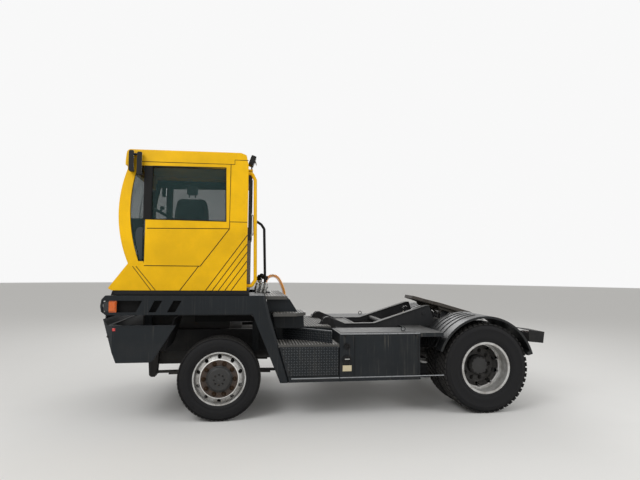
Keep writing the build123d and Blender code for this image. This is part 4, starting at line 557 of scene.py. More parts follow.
def boom_paint(settings):
    """The boom's black paint, with painted highlights along its flange edges and lighter grey patches on top."""
    return painted("boom_black", settings.boom_colour, roughness=0.46, coat=0.0, dust=0.4, streaks=0.1, edge_glint=0.95,
                   grain=0.0012, grey_top=0.8)


def seat_cloth():
    """Black woven cloth, its threads crossing at a fine pitch."""
    shade = Shade("seat_cloth")
    x, y, z = shade.axes()
    turn = 2 * math.pi / 0.0024
    weave = (((x + y) * turn).sine() * ((z - x) * turn).sine()) * 0.5 + 0.5
    fuzz = shade.speckle(700.0, 3.0, 0.7)
    rubbed = shade.speckle(7.0, 5.0, 0.6)
    colour = shade.mix(weave, (0.006, 0.006, 0.007, 1.0), (0.022, 0.022, 0.025, 1.0))
    colour = shade.mix(rubbed.rising(0.5, 0.8) * 0.4, colour, (0.045, 0.044, 0.044, 1.0))
    return shade.finish({
        "Base Color": colour, "Roughness": (0.82 + fuzz * 0.12).clamped(), "Sheen Weight": 0.4,
        "Normal": shade.bump(weave * 0.7 + fuzz * 0.3, 0.0006, 0.6),
    })


def cooler_fins():
    """The radiator's bright fins in rows of tubes."""
    shade = Shade("cooler_fins")
    _, y, z = shade.axes()
    fins = (z * (2 * math.pi / 0.004)).sine() * 0.5 + 0.5
    tubes = (y * (2 * math.pi / 0.022)).sine().rising(0.6, 0.8)
    grime = shade.speckle(9.0, 6.0, 0.7)
    colour = shade.mix(fins * 0.5, (0.05, 0.05, 0.05, 1.0), (0.2, 0.2, 0.19, 1.0))
    colour = shade.mix((tubes * 0.6 + grime * 0.3).clamped(), colour, (0.06, 0.055, 0.05, 1.0))
    return shade.finish({"Base Color": colour, "Metallic": 0.6, "Roughness": (0.5 + grime * 0.2).clamped(),
                         "Normal": shade.bump(fins, 0.001, 0.8)})


def hose_plastic():
    """The curly hose's orange-yellow plastic with scuffed black patches."""
    shade = Shade("hose_plastic")
    scuffs = shade.speckle(24.0, 5.0, 0.65)
    bands = shade.speckle(11.0, 2.0, 0.5).rising(0.6, 0.68)
    colour = shade.mix(scuffs, (1.0, 0.3, 0.008, 1.0), (1.0, 0.62, 0.03, 1.0))
    colour = shade.mix(bands * 0.8, colour, (0.03, 0.022, 0.016, 1.0))
    return shade.finish({"Base Color": colour, "Roughness": (0.28 + scuffs * 0.2).clamped(), "Coat Weight": 0.2,
                         "Normal": shade.bump(scuffs, 0.0006, 0.4)})


def blank_plate_finish():
    """A cream plate with nothing on it, slightly stained."""
    shade = Shade("cream_plate")
    stain = shade.speckle(30.0, 6.0, 0.7)
    colour = shade.mix(stain, (0.68, 0.6, 0.4, 1.0), (0.42, 0.36, 0.24, 1.0))
    return shade.finish({"Base Color": colour, "Roughness": (0.45 + stain * 0.2).clamped(),
                         "Normal": shade.bump(stain, 0.0003, 0.4)})


def window_rubber():
    """The dull black rubber of the window seals."""
    shade = Shade("window_rubber")
    bloom = shade.speckle(18.0, 5.0, 0.6)
    colour = shade.mix(bloom, (0.004, 0.004, 0.0045, 1.0), (0.010, 0.010, 0.010, 1.0))
    return shade.finish({"Base Color": colour, "Roughness": (0.6 + bloom * 0.2).clamped(), "Specular IOR Level": 0.2,
                         "Normal": shade.bump(shade.speckle(500.0, 3.0), 0.0003, 0.5)})


def pale_floor(colour):
    """The stage's floor: pale, plain and dull."""
    shade = Shade("stage_floor")
    grain = shade.speckle(3.0, 4.0)
    tone = shade.mix(grain, shade_of(colour, 0.98), colour4(colour))
    return shade.finish({"Base Color": tone, "Roughness": 0.9, "Specular IOR Level": 0.1})


REAR_LAMPS_FROM = 2.0
DARK_LAMP_X = -2.513
DARK_LAMP_Z = 1.1
LAMP_BOX_Y = 0.89
LAMP_BOX_X = 2.44
RED_FIELD_Z = 0.845


def lamp_lenses():
    """The signal lamps' lenses: amber in front with a black lamp ahead, and red and clear fields behind."""
    shade = Shade("signal_lenses")
    x, y, z = shade.axes()
    ribs = (x * (2 * math.pi / 0.007)).sine() * 0.5 + (z * (2 * math.pi / 0.007)).sine() * 0.5
    film = shade.speckle(25.0, 5.0).rising(0.4, 0.8)
    rear = x > REAR_LAMPS_FROM
    dark_front = (x < DARK_LAMP_X) * (z > DARK_LAMP_Z)
    housing = dark_front.larger(rear * ((abs(y) > LAMP_BOX_Y) * (x < LAMP_BOX_X)))
    field = shade.mix(z > RED_FIELD_Z, (0.62, 0.6, 0.58, 1.0), (0.5, 0.01, 0.008, 1.0))
    colour = shade.mix(rear, (0.62, 0.11, 0.004, 1.0), field)
    colour = shade.mix(film * 0.3, colour, (0.2, 0.1, 0.05, 1.0))
    colour = shade.mix(housing, colour, (0.014, 0.014, 0.015, 1.0))
    return shade.finish({
        "Base Color": colour, "Roughness": (0.12 + film * 0.2 + housing * 0.35).clamped(),
        "Coat Weight": (0.5 - housing * 0.5).clamped(), "Normal": shade.bump(ribs * (1 - housing), 0.001, 0.6),
    })


DOOR_BELT_Z = 1.96


def door_finish():
    """The sliding door: black above the belt, grey sheet with dried dirt below it."""
    shade = Shade("rear_door_paint")
    height = shade.axes()[2]
    dirt = shade.speckle(9.0, 6.0, 0.65)
    rounded, edge = shade.edge(0.003)
    low = shade.mix(dirt, (0.2, 0.205, 0.21, 1.0), (0.11, 0.11, 0.108, 1.0))
    colour = shade.mix(height > DOOR_BELT_Z, low, (0.013, 0.014, 0.015, 1.0))
    # painted highlight: edges lightened
    colour = shade.mix(edge * 0.2, colour, (0.25, 0.25, 0.25, 1.0))
    return shade.finish({"Base Color": colour, "Roughness": (0.42 + dirt * 0.2).clamped(),
                         "Normal": shade.bump(dirt, 0.0006, 0.4, rounded)})


# Meshes

def piece_from(name, mesh, material):
    """A piece at the origin from a finished mesh."""
    piece = bpy.data.objects.new(name, mesh)
    bpy.context.scene.collection.objects.link(piece)
    if material is not None:
        mesh.materials.clear()
        mesh.materials.append(material)
    return piece


def mesh_from(name, build, material=None):
    """A mesh made by a function that fills a bmesh, its doubles merged and faces turned outward."""
    form = bmesh.new()
    build(form)
    bmesh.ops.remove_doubles(form, verts=form.verts, dist=1e-6)
    bmesh.ops.recalc_face_normals(form, faces=form.faces)
    mesh = bpy.data.meshes.new(name)
    form.to_mesh(mesh)
    form.free()
    if material is not None:
        mesh.materials.append(material)
    return mesh


def hand_over(piece, body):
    """Gives a finished piece its body."""
    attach(piece, body)
    return piece


def settle(mesh, body, material=None):
    """A piece with its mesh's name, handed to its body."""
    return hand_over(piece_from(mesh.name, mesh, material), body)


def smooth(mesh, angle=35.0):
    """Smooth shading that keeps the edges sharper than an angle."""
    mesh.shade_smooth()
    mesh.set_sharp_from_angle(angle=math.radians(angle))


def add_turned(form, profile, steps, place):
    """A closed (radius, height) outline turned about the local Z axis."""
    rings = []
    for radius, height in profile:
        if radius < 1e-6:
            rings.append([form.verts.new(place @ Vector((0, 0, height)))])
            continue
        ring = []
        for step in range(steps):
            angle = 2 * math.pi * step / steps
            ring.append(form.verts.new(place @ Vector((radius * math.cos(angle), radius * math.sin(angle), height))))
        rings.append(ring)
    for one, other in zip(rings, rings[1:] + rings[:1]):
        for step in range(steps):
            after = (step + 1) % steps
            corners = [one[step % len(one)], one[after % len(one)], other[after % len(other)], other[step % len(other)]]
            unique = list(dict.fromkeys(corners))
            if len(unique) > 2:
                form.faces.new(unique)


def add_block(form, low, high, bevel=0.0, place=Matrix.Identity(4)):
    """A block between two corners with rounded edges."""
    size = [b - a for a, b in zip(low, high)]
    middle = [(a + b) / 2 for a, b in zip(low, high)]
    made = bmesh.ops.create_cube(form, size=1.0)
    bmesh.ops.scale(form, vec=size, verts=made["verts"])
    bmesh.ops.translate(form, vec=middle, verts=made["verts"])
    bmesh.ops.transform(form, matrix=place, verts=made["verts"])
    if bevel:
        edges = list(dict.fromkeys(edge for vert in made["verts"] for edge in vert.link_edges))
        bmesh.ops.bevel(form, geom=edges, offset=bevel, segments=2, profile=0.6, affect="EDGES")


def add_tube(form, points, radius, sides=12, closed=False):
    """A round tube along points, its section carried without twisting."""
    points = [Vector(point) for point in points]
    count = len(points)
    side = None
    rings = []
    for place, point in enumerate(points):
        before = points[place - 1] if place or closed else point
        after = points[(place + 1) % count] if place < count - 1 or closed else point
        along = (after - before).normalized()
        if side is None:
            side = along.orthogonal().normalized()
        side = (side - along * side.dot(along)).normalized()
        up = along.cross(side)
        ring = []
        for step in range(sides):
            angle = 2 * math.pi * step / sides
            ring.append(form.verts.new(point + (side * math.cos(angle) + up * math.sin(angle)) * radius))
        rings.append(ring)
    pairs = list(zip(rings, rings[1:])) + ([(rings[-1], rings[0])] if closed else [])
    for one, other in pairs:
        for step in range(sides):
            after = (step + 1) % sides
            form.faces.new((one[step], one[after], other[after], other[step]))
    if not closed:
        form.faces.new(rings[0][::-1])
        form.faces.new(rings[-1])


# Geometry trees

class Growth:
    """A geometry tree with named inputs, built once and used for many pieces."""

    def __init__(self, name, inputs):
        self.tree = bpy.data.node_groups.new(name, "GeometryNodeTree")
        self.tree.interface.new_socket("Geometry", in_out="OUTPUT", socket_type="NodeSocketGeometry")
        self.tree.interface.new_socket("Geometry", in_out="INPUT", socket_type="NodeSocketGeometry")
        for title, kind in inputs:
            self.tree.interface.new_socket(title, in_out="INPUT", socket_type=kind)
        self.given = self.tree.nodes.new("NodeGroupInput")

    def node(self, kind, settings, inputs, output=0):
        """Adds a node and returns one of its outputs."""
        made = self.tree.nodes.new(kind)
        for key, setting in settings.items():
            setattr(made, key, setting)
        for key, value in inputs.items():
            if isinstance(value, bpy.types.NodeSocket):
                self.tree.links.new(value, made.inputs[key])
            else:
                made.inputs[key].default_value = value
        return made.outputs[output]

    def socket(self, title):
        return self.given.outputs[title]

    def math(self, operation, first, second):
        return self.node("ShaderNodeMath", {"operation": operation}, {0: first, 1: second})

    def close(self, instances):
        """Ends the tree in real geometry with its material."""
        real = self.node("GeometryNodeRealizeInstances", {}, {0: instances})
        dressed = self.node("GeometryNodeSetMaterial", {}, {"Geometry": real, "Material": self.socket("Material")})
        out = self.tree.nodes.new("NodeGroupOutput")
        self.tree.links.new(dressed, out.inputs[0])
        return self


def ring_growth():
    """Copies of a source object evenly round the Z axis."""
    tree = Growth("ring_of_copies", [("Source", "NodeSocketObject"), ("Count", "NodeSocketInt"),
                                     ("Radius", "NodeSocketFloat"), ("Height", "NodeSocketFloat"),
                                     ("Material", "NodeSocketMaterial")])
    count = tree.socket("Count")
    start = tree.node("GeometryNodeMeshLine", {"mode": "OFFSET"}, {"Count": count, "Offset": (0.0, 0.0, 0.0)})
    index = tree.node("GeometryNodeInputIndex", {}, {})
    step = tree.math("DIVIDE", 2 * math.pi, count)
    angle = tree.math("MULTIPLY", index, step)
    x = tree.math("MULTIPLY", tree.node("ShaderNodeMath", {"operation": "COSINE"}, {0: angle}), tree.socket("Radius"))
    y = tree.math("MULTIPLY", tree.node("ShaderNodeMath", {"operation": "SINE"}, {0: angle}), tree.socket("Radius"))
    place = tree.node("ShaderNodeCombineXYZ", {}, {0: x, 1: y, 2: tree.socket("Height")})
    points = tree.node("GeometryNodeSetPosition", {}, {"Geometry": start, "Position": place})
    source = tree.node("GeometryNodeObjectInfo", {}, {"Object": tree.socket("Source")}, "Geometry")
    turn = tree.node("ShaderNodeCombineXYZ", {}, {2: angle})
    copies = tree.node("GeometryNodeInstanceOnPoints", {}, {"Points": points, "Instance": source, "Rotation": turn})
    return tree.close(copies)


def grid_growth():
    """Copies of a source object in rows, each second copy turned a quarter, as on chequered sheet."""
    tree = Growth("grid_of_copies", [("Source", "NodeSocketObject"), ("Columns", "NodeSocketInt"),
                                     ("Rows", "NodeSocketInt"), ("Width", "NodeSocketFloat"),
                                     ("Depth", "NodeSocketFloat"), ("Turn", "NodeSocketFloat"),
                                     ("Material", "NodeSocketMaterial")])
    grid = tree.node("GeometryNodeMeshGrid", {}, {"Size X": tree.socket("Width"), "Size Y": tree.socket("Depth"),
                                                  "Vertices X": tree.socket("Columns"),
                                                  "Vertices Y": tree.socket("Rows")})
    index = tree.node("GeometryNodeInputIndex", {}, {})
    row = tree.math("MODULO", index, tree.socket("Rows"))
    column = tree.math("FLOOR", tree.math("DIVIDE", index, tree.socket("Rows")), 0.0)
    odd = tree.math("MODULO", tree.math("ADD", row, column), 2.0)
    angle = tree.math("ADD", tree.math("MULTIPLY", odd, math.pi / 2), tree.socket("Turn"))
    turn = tree.node("ShaderNodeCombineXYZ", {}, {2: angle})
    source = tree.node("GeometryNodeObjectInfo", {}, {"Object": tree.socket("Source")}, "Geometry")
    copies = tree.node("GeometryNodeInstanceOnPoints", {}, {"Points": grid, "Instance": source, "Rotation": turn})
    return tree.close(copies)


def points_growth():
    """Copies of a source object on the vertices of the modified mesh itself."""
    tree = Growth("copies_on_points", [("Source", "NodeSocketObject"), ("Material", "NodeSocketMaterial")])
    source = tree.node("GeometryNodeObjectInfo", {}, {"Object": tree.socket("Source")}, "Geometry")
    copies = tree.node("GeometryNodeInstanceOnPoints", {}, {"Points": tree.socket("Geometry"), "Instance": source})
    return tree.close(copies)


def rim_growth():
    """A strip of constant section along the modified mesh's edges, for seals and joints."""
    tree = Growth("strip_along_edges", [("Half width", "NodeSocketFloat"), ("Half height", "NodeSocketFloat"),
                                        ("Material", "NodeSocketMaterial")])
    line = tree.node("GeometryNodeMeshToCurve", {}, {"Mesh": tree.socket("Geometry")})
    width = tree.math("MULTIPLY", tree.socket("Half width"), 2.0)
    height = tree.math("MULTIPLY", tree.socket("Half height"), 2.0)
    section = tree.node("GeometryNodeCurvePrimitiveQuadrilateral", {}, {"Width": width, "Height": height})
    strip = tree.node("GeometryNodeCurveToMesh", {}, {"Curve": line, "Profile Curve": section, "Fill Caps": True})
    return tree.close(strip)


TREES = {}


def tree_named(title):
    """One of the trees, built on first use."""
    makers = {"ring": ring_growth, "grid": grid_growth, "points": points_growth, "strip": rim_growth}
    if title not in TREES:
        TREES[title] = makers[title]().tree
    return TREES[title]


def evaluated(holder):
    """The mesh that an object's modifiers give."""
    return bpy.data.meshes.new_from_object(holder.evaluated_get(bpy.context.evaluated_depsgraph_get()))


def grown(name, title, values, base=None, place=Matrix.Identity(4)):
    """The result of a tree on a base mesh, as a plain mesh in its place."""
    holder = bpy.data.objects.new(name + "_base", base or bpy.data.meshes.new(name + "_base"))
    bpy.context.scene.collection.objects.link(holder)
    modifier = holder.modifiers.new("growth", "NODES")
    tree = tree_named(title)
    modifier.node_group = tree
    for item in tree.interface.items_tree:
        if item.item_type == "SOCKET" and item.in_out == "INPUT" and item.name in values:
            modifier[item.identifier] = values[item.name]
    mesh = evaluated(holder)
    mesh.name = name
    mesh.transform(place)
    bpy.data.objects.remove(holder)
    if not mesh.polygons:
        raise RuntimeError(name + " grew no faces")
    return mesh


def source_object(name, mesh):
    """A stand-by object that a tree copies."""
    source = bpy.data.objects.new(name, mesh)
    bpy.context.scene.collection.objects.link(source)
    source.hide_render = True
    return source


def joined(name, meshes, material=None):
    """Several meshes as one, keeping their own materials unless one is given."""
    form = bmesh.new()
    materials = []
    for mesh in meshes:
        before = len(form.faces)
        form.from_mesh(mesh)
        form.faces.ensure_lookup_table()
        for face in form.faces[before:]:
            given = mesh.materials[face.material_index] if mesh.materials else None
            if given not in materials:
                materials.append(given)
            face.material_index = materials.index(given)
    whole = bpy.data.meshes.new(name)
    form.to_mesh(whole)
    form.free()
    if material is None:
        for given in materials:
            whole.materials.append(given)
    else:
        for polygon in whole.polygons:
            polygon.material_index = 0
        whole.materials.append(material)
    return whole


def facing_out(side, centre, outward):
    """The place of a turned piece on a wheel: its Z axis points away from the vehicle."""
    turn = Matrix.Rotation(math.radians(90 if side < 0 else -90), 4, "X")
    return Matrix.Translation(Vector((centre[0], side * outward, centre[2]))) @ turn


# Tyres

TREAD_DEPTH = 0.014
TREAD_TAPER = 0.0016
TREAD_SUNK = 0.004
BEAD_R = 0.2866
TYRE_STEPS = 96


def tyre_profile(radius, width, bead):
    """Half-round shoulders, a bulging sidewall with thin rings and a bead."""
    half = width / 2
    floor = radius - TREAD_DEPTH
    side = [(bead, half - 0.028), (bead + 0.012, half - 0.017), (bead + 0.03, half - 0.010),
            (bead + 0.032, half - 0.006), (bead + 0.038, half - 0.006), (bead + 0.04, half - 0.009),
            (bead + 0.062, half - 0.001), (bead + 0.085, half), (radius - 0.075, half - 0.001), (radius - 0.073, half),
            (radius - 0.066, half - 0.0005), (radius - 0.064, half - 0.003), (radius - 0.04, half - 0.006),
            (radius - 0.026, half - 0.013), (floor, half - 0.026)]
    crown = [(floor + 0.001, half * 0.55), (floor + 0.002, 0.0), (floor + 0.001, -half * 0.55)]
    other = [(r, -s) for r, s in reversed(side)]
    return side + crown + other


def tread_pitch(radius, rows, share):
    """One pitch of tread blocks: each row has its span across, its skew and its share of the pitch."""
    floor = radius - TREAD_DEPTH - TREAD_SUNK

    def build(form):
        for low, high, skew, shift, length, drop in rows:
            corners = []
            for r, shrink in ((floor, 0.0), (radius - drop, TREAD_TAPER)):
                for y, lean in ((low + shrink, -skew / 2), (high - shrink, skew / 2)):
                    half = length * share / 2 - shrink / radius
                    for sign in (-1, 1):
                        angle = shift * share + lean * share + sign * half
                        corners.append(form.verts.new((r * math.cos(angle), r * math.sin(angle), y)))
            for quad in ((0, 1, 3, 2), (4, 6, 7, 5), (0, 4, 5, 1), (2, 3, 7, 6), (0, 2, 6, 4), (1, 5, 7, 3)):
                form.faces.new([corners[i] for i in quad])
    return mesh_from("tread_pitch", build)


FRONT_ROWS = [
    # across from, to, skew, shift, length in pitches, drop at the top
    (-0.136, -0.094, 0.1, 0.0, 0.9, 0.006), (-0.082, -0.036, 0.35, 0.3, 0.93, 0.001),
    (-0.024, 0.024, -0.35, 0.6, 0.93, 0.0), (0.036, 0.082, 0.35, 0.3, 0.93, 0.001),
    (0.094, 0.136, -0.1, 0.0, 0.9, 0.006),
]
REAR_ROWS = [
    (-0.130, -0.080, 0.1, 0.0, 0.72, 0.005), (-0.072, -0.008, 0.55, 0.45, 0.7, 0.0),
    (0.008, 0.072, 0.55, 0.95, 0.7, 0.0), (0.080, 0.130, 0.1, 0.5, 0.72, 0.005),
]
FRONT_PITCHES = 64
REAR_PITCHES = 50


def tyre_mesh(name, radius, width, rows, pitches, place, material):
    """A carcass with its ring of tread blocks."""
    profile = tyre_profile(radius, width, BEAD_R)
    body = mesh_from(name + "_carcass", lambda form: add_turned(form, profile, TYRE_STEPS, Matrix()), material)
    smooth(body, 40)
    body.transform(place)
    source = source_object(name + "_pitch", tread_pitch(radius, rows, 2 * math.pi / pitches))
    blocks = grown(name + "_tread", "ring", {"Source": source, "Count": pitches, "Radius": 0.0, "Height": 0.0,
                                             "Material": material}, place=place)
    bpy.data.objects.remove(source)
    return joined(name, [body, blocks], material)


def make_tyres(finishes):
    """The four tyre pieces, the rear ones as twins."""
    for word, side in SIDES:
        mesh = tyre_mesh(f"front_{word}_tyre_tread", FRONT_TYRE_R, FRONT_TYRE_W, FRONT_ROWS, FRONT_PITCHES,
                         facing_out(side, FRONT_AXLE, abs(FRONT_AXLE.y)), finishes["front_tyre"])
        piece = settle(mesh, f"front_{word}")
        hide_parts(f"front_{word}_tyre")
        twins = []
        for twin, share in (("inner", -0.5), ("outer", 0.5)):
            place = facing_out(side, REAR_AXLE, abs(REAR_AXLE.y) + share * TWIN_SPACING)
            twins.append(tyre_mesh(f"rear_{word}_{twin}", REAR_TYRE_R, REAR_TYRE_W, REAR_ROWS, REAR_PITCHES, place,
                                   finishes["rear_tyre"]))
        mesh = joined(f"rear_{word}_tyre_treads", twins, finishes["rear_tyre"])
        piece = settle(mesh, f"rear_{word}")
        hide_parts(f"rear_{word}_tyres")


# Wheel nuts and hub bolts

NUT_COUNT = 10
NUT_RING = 0.1675
NUT_SIZE = (0.0185, 0.02)
HUB_BOLT_SIZE = (0.007, 0.006)
WHEEL_ENDS = [
    # end, axle, the nuts' way out and finish, the hub bolts' way out, their count and their ring
    ("front", FRONT_AXLE, 0.120, "rusty_nut", 0.1655, 8, 0.055),
    ("rear", REAR_AXLE, 0.013, "hub_dark", 0.1225, 12, 0.098),
]


def add_nut(form, radius, height, place):
    """A hexagon nut on a washer with its stud standing out."""
    washer = [(0.0, 0.0), (radius * 1.35, 0.0), (radius * 1.35, 0.003), (radius * 1.2, 0.004), (0.0, 0.004)]
    add_turned(form, washer, 18, place)
    hexagon = [(0.0, 0.004), (radius, 0.004), (radius * 1.08, 0.007), (radius * 1.08, height * 0.75),
               (radius * 0.85, height), (0.0, height)]
    add_turned(form, hexagon, 6, place)
    stud = [(0.0, height), (radius * 0.55, height), (radius * 0.55, height * 1.35), (radius * 0.45, height * 1.42),
            (0.0, height * 1.42)]
    add_turned(form, stud, 12, place)


def make_wheel_nuts(finishes):
    """Ten nuts on each wheel and a ring of bolts on each hub."""
    nut = source_object("nut_source", mesh_from("nut", lambda form: add_nut(form, *NUT_SIZE, Matrix())))
    bolt = source_object("bolt_source", mesh_from("bolt", lambda form: add_nut(form, *HUB_BOLT_SIZE, Matrix())))
    for word, side in SIDES:
        for end, axle, nut_out, finish, bolt_out, bolt_count, bolt_ring in WHEEL_ENDS:
            nuts = grown(f"{end}_{word}_nuts", "ring",
                         {"Source": nut, "Count": NUT_COUNT, "Radius": NUT_RING, "Height": 0.0,
                          "Material": finishes[finish]}, place=facing_out(side, axle, abs(axle.y) + nut_out))
            bolts = grown(f"{end}_{word}_hub_bolts", "ring",
                          {"Source": bolt, "Count": bolt_count, "Radius": bolt_ring, "Height": 0.0,
                           "Material": finishes["hub_dark"]}, place=facing_out(side, axle, abs(axle.y) + bolt_out))
            mesh = joined(f"{end}_{word}_wheel_nuts", [nuts, bolts])
            settle(mesh, f"{end}_{word}")
    bpy.data.objects.remove(nut)
    bpy.data.objects.remove(bolt)


# Air hose

HOSE_ROUTE = [(-0.850, -0.100, 1.440), (-0.850, -0.100, 1.490), (-0.825, -0.100, 1.533), (-0.782, -0.100, 1.558),
              (-0.732, -0.100, 1.558), (-0.689, -0.100, 1.533), (-0.657, -0.100, 1.482), (-0.622, -0.100, 1.405),
              (-0.595, -0.100, 1.310), (-0.595, -0.100, 1.210)]
HOSE_D = 0.010
HOSE_COIL_R = 0.0185
HOSE_TURN_POINTS = 16
HOSE_TAIL = 0.02
HOSE_SWELL = 0.03


def route_points(route, fineness=24):
    """Points along the smooth line that has the route as its control points."""
    data = bpy.data.curves.new("hose_route", "CURVE")
    data.dimensions = "3D"
    data.resolution_u = fineness
    spline = data.splines.new("NURBS")
    spline.points.add(len(route) - 1)
    for point, place in zip(spline.points, route):
        point.co = (*place, 1.0)
    spline.order_u = 3
    spline.use_endpoint_u = True
    holder = bpy.data.objects.new("hose_route", data)
    bpy.context.scene.collection.objects.link(holder)
    mesh = bpy.data.meshes.new_from_object(holder)
    points = [vert.co.copy() for vert in mesh.vertices]
    bpy.data.objects.remove(holder)
    return points


def hose_helix(pitch):
    """The hose's own line: the coil's turns round the route, drawn in towards both ends."""
    points = route_points(HOSE_ROUTE)
    lengths = [0.0]
    for before, after in zip(points, points[1:]):
        lengths.append(lengths[-1] + (after - before).length)
    total = lengths[-1]
    turns = round((total - 2 * HOSE_TAIL) / pitch)
    count = turns * HOSE_TURN_POINTS
    line = []
    side = Vector((0, 1, 0))
    for step in range(count + 1):
        reach = total * step / count
        place = max(i for i in range(len(lengths)) if lengths[i] <= reach + 1e-9)
        place = min(place, len(points) - 2)
        share = (reach - lengths[place]) / max(lengths[place + 1] - lengths[place], 1e-9)
        centre = points[place].lerp(points[place + 1], share)
        along = (points[place + 1] - points[place]).normalized()
        side = (side - along * side.dot(along)).normalized()
        up = along.cross(side)
        swell = min(1.0, reach / HOSE_SWELL, (total - reach) / HOSE_SWELL)
        angle = 2 * math.pi * turns * step / count
        line.append(centre + (side * math.cos(angle) + up * math.sin(angle)) * HOSE_COIL_R * swell)
    return line


def make_air_hose(finishes, pitch):
    """The parked curly hose, wound in its arch behind the cab."""
    line = hose_helix(pitch)
    data = bpy.data.curves.new("air_hose", "CURVE")
    data.dimensions = "3D"
    data.bevel_depth = HOSE_D / 2
    data.bevel_resolution = 3
    data.resolution_u = 2
    data.use_fill_caps = True
    spline = data.splines.new("POLY")
    spline.points.add(len(line) - 1)
    for point, place in zip(spline.points, line):
        point.co = (*place, 1.0)
    spline.use_smooth = True
    piece = bpy.data.objects.new("air_hose", data)
    bpy.context.scene.collection.objects.link(piece)
    data.materials.append(finishes["hose"])
    length = sum((after - before).length for before, after in zip(line, line[1:]))
    hand_over(piece, "chassis")
    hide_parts("air_hose_coil")


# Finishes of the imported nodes

NODE_FINISHES = {
    "wall_yellow": ("cab_left_wall", "cab_right_wall"),
    "cab_yellow": ("cab_rear_wall", "cab_roof"),
    "plain_yellow": ("cab_front_apron", "cab_handrail"),
    "box": ("side_boxes",),
    "rear_door": ("rear_door",),
    "anthracite": ("left_fender_frame", "right_fender_frame", "front_bumper", "front_panel", "step_carcass"),
    "chassis": ("ladder_frame", "frame_brackets", "front_crossbeam", "lift_cylinder_barrels", "seat_frame",
                "hose_stand"),
    "casting": ("front_axle_beam", "steering_knuckle_left", "steering_knuckle_right", "tie_rod", "front_leaf_springs",
                "rear_axle", "engine_block", "driveline"),
    "moulded": ("cab_floor", "wheel_arch_liners", "filler_caps", "dashboard", "steering_wheel", "air_cleaner",
                "work_light"),
    "fender": ("rear_fenders",),
    "glass": ("windscreen", "cab_windows", "rear_door_glass"),
    "tread": ("step_treads",),
    "cooler": ("radiator",),
    "boom": ("lift_boom",),
    "greased": ("fifth_wheel_plate",),
    "rod": ("lift_cylinder_rods",),
    "front_wheel": ("front_left_wheel", "front_right_wheel"),
    "rear_wheel": ("rear_left_wheels", "rear_right_wheels"),
    "signal_lenses": ("signal_lamps",),
    "clear_lens": ("headlamps",),
    "stack": ("exhaust_stack",),
    "mirror_housing": ("mirrors",),
    "front_tyre": ("front_left_tyre", "front_right_tyre"),
    "rear_tyre": ("rear_left_tyres", "rear_right_tyres"),
    "seat_cloth": ("seat_cushion", "seat_back"),
    "hose": ("air_hose_coil",),
}

MIRROR_OUT_Y = 1.236
MIRROR_IN_Y = 0.246
MIRROR_STEP = 0.002


def mirror_finish(settings):
    """Black mirror heads at the ends of yellow arms, told apart by how far out they stand."""
    shade = Shade("mirror_housing")
    _, y, _ = shade.axes()
    outside = (y * -1).rising(MIRROR_OUT_Y, MIRROR_OUT_Y + MIRROR_STEP)
    head = (outside.larger(y.rising(MIRROR_IN_Y, MIRROR_IN_Y + MIRROR_STEP))).clamped()
    grain = shade.cells(800.0)
    rounded, edge = shade.edge(0.003)
    film = road_dust(shade, 1.0, 0.2)
    glass = head * shade.facing("X").rising(0.85, 0.95)
    black = shade.mix(shade.speckle(9.0), (0.004, 0.004, 0.0045, 1.0), (0.010, 0.010, 0.011, 1.0))
    colour = shade.mix(head, colour4(settings.cab_colour), black)
    # painted highlight: edges lightened
    colour = shade.mix(film, shade.mix(edge * 0.15, colour, (0.2, 0.2, 0.19, 1.0)), DUST)
    colour = shade.mix(glass, colour, (0.7, 0.72, 0.73, 1.0))
    return shade.finish({"Base Color": colour, "Metallic": glass.clamped(), "Specular IOR Level": 0.2,
                         "Roughness": (0.34 + head * 0.1 + film * 0.3 - glass * 0.38).clamped(),
                         "Normal": shade.bump(grain * head, 0.0004, 0.4, rounded)})


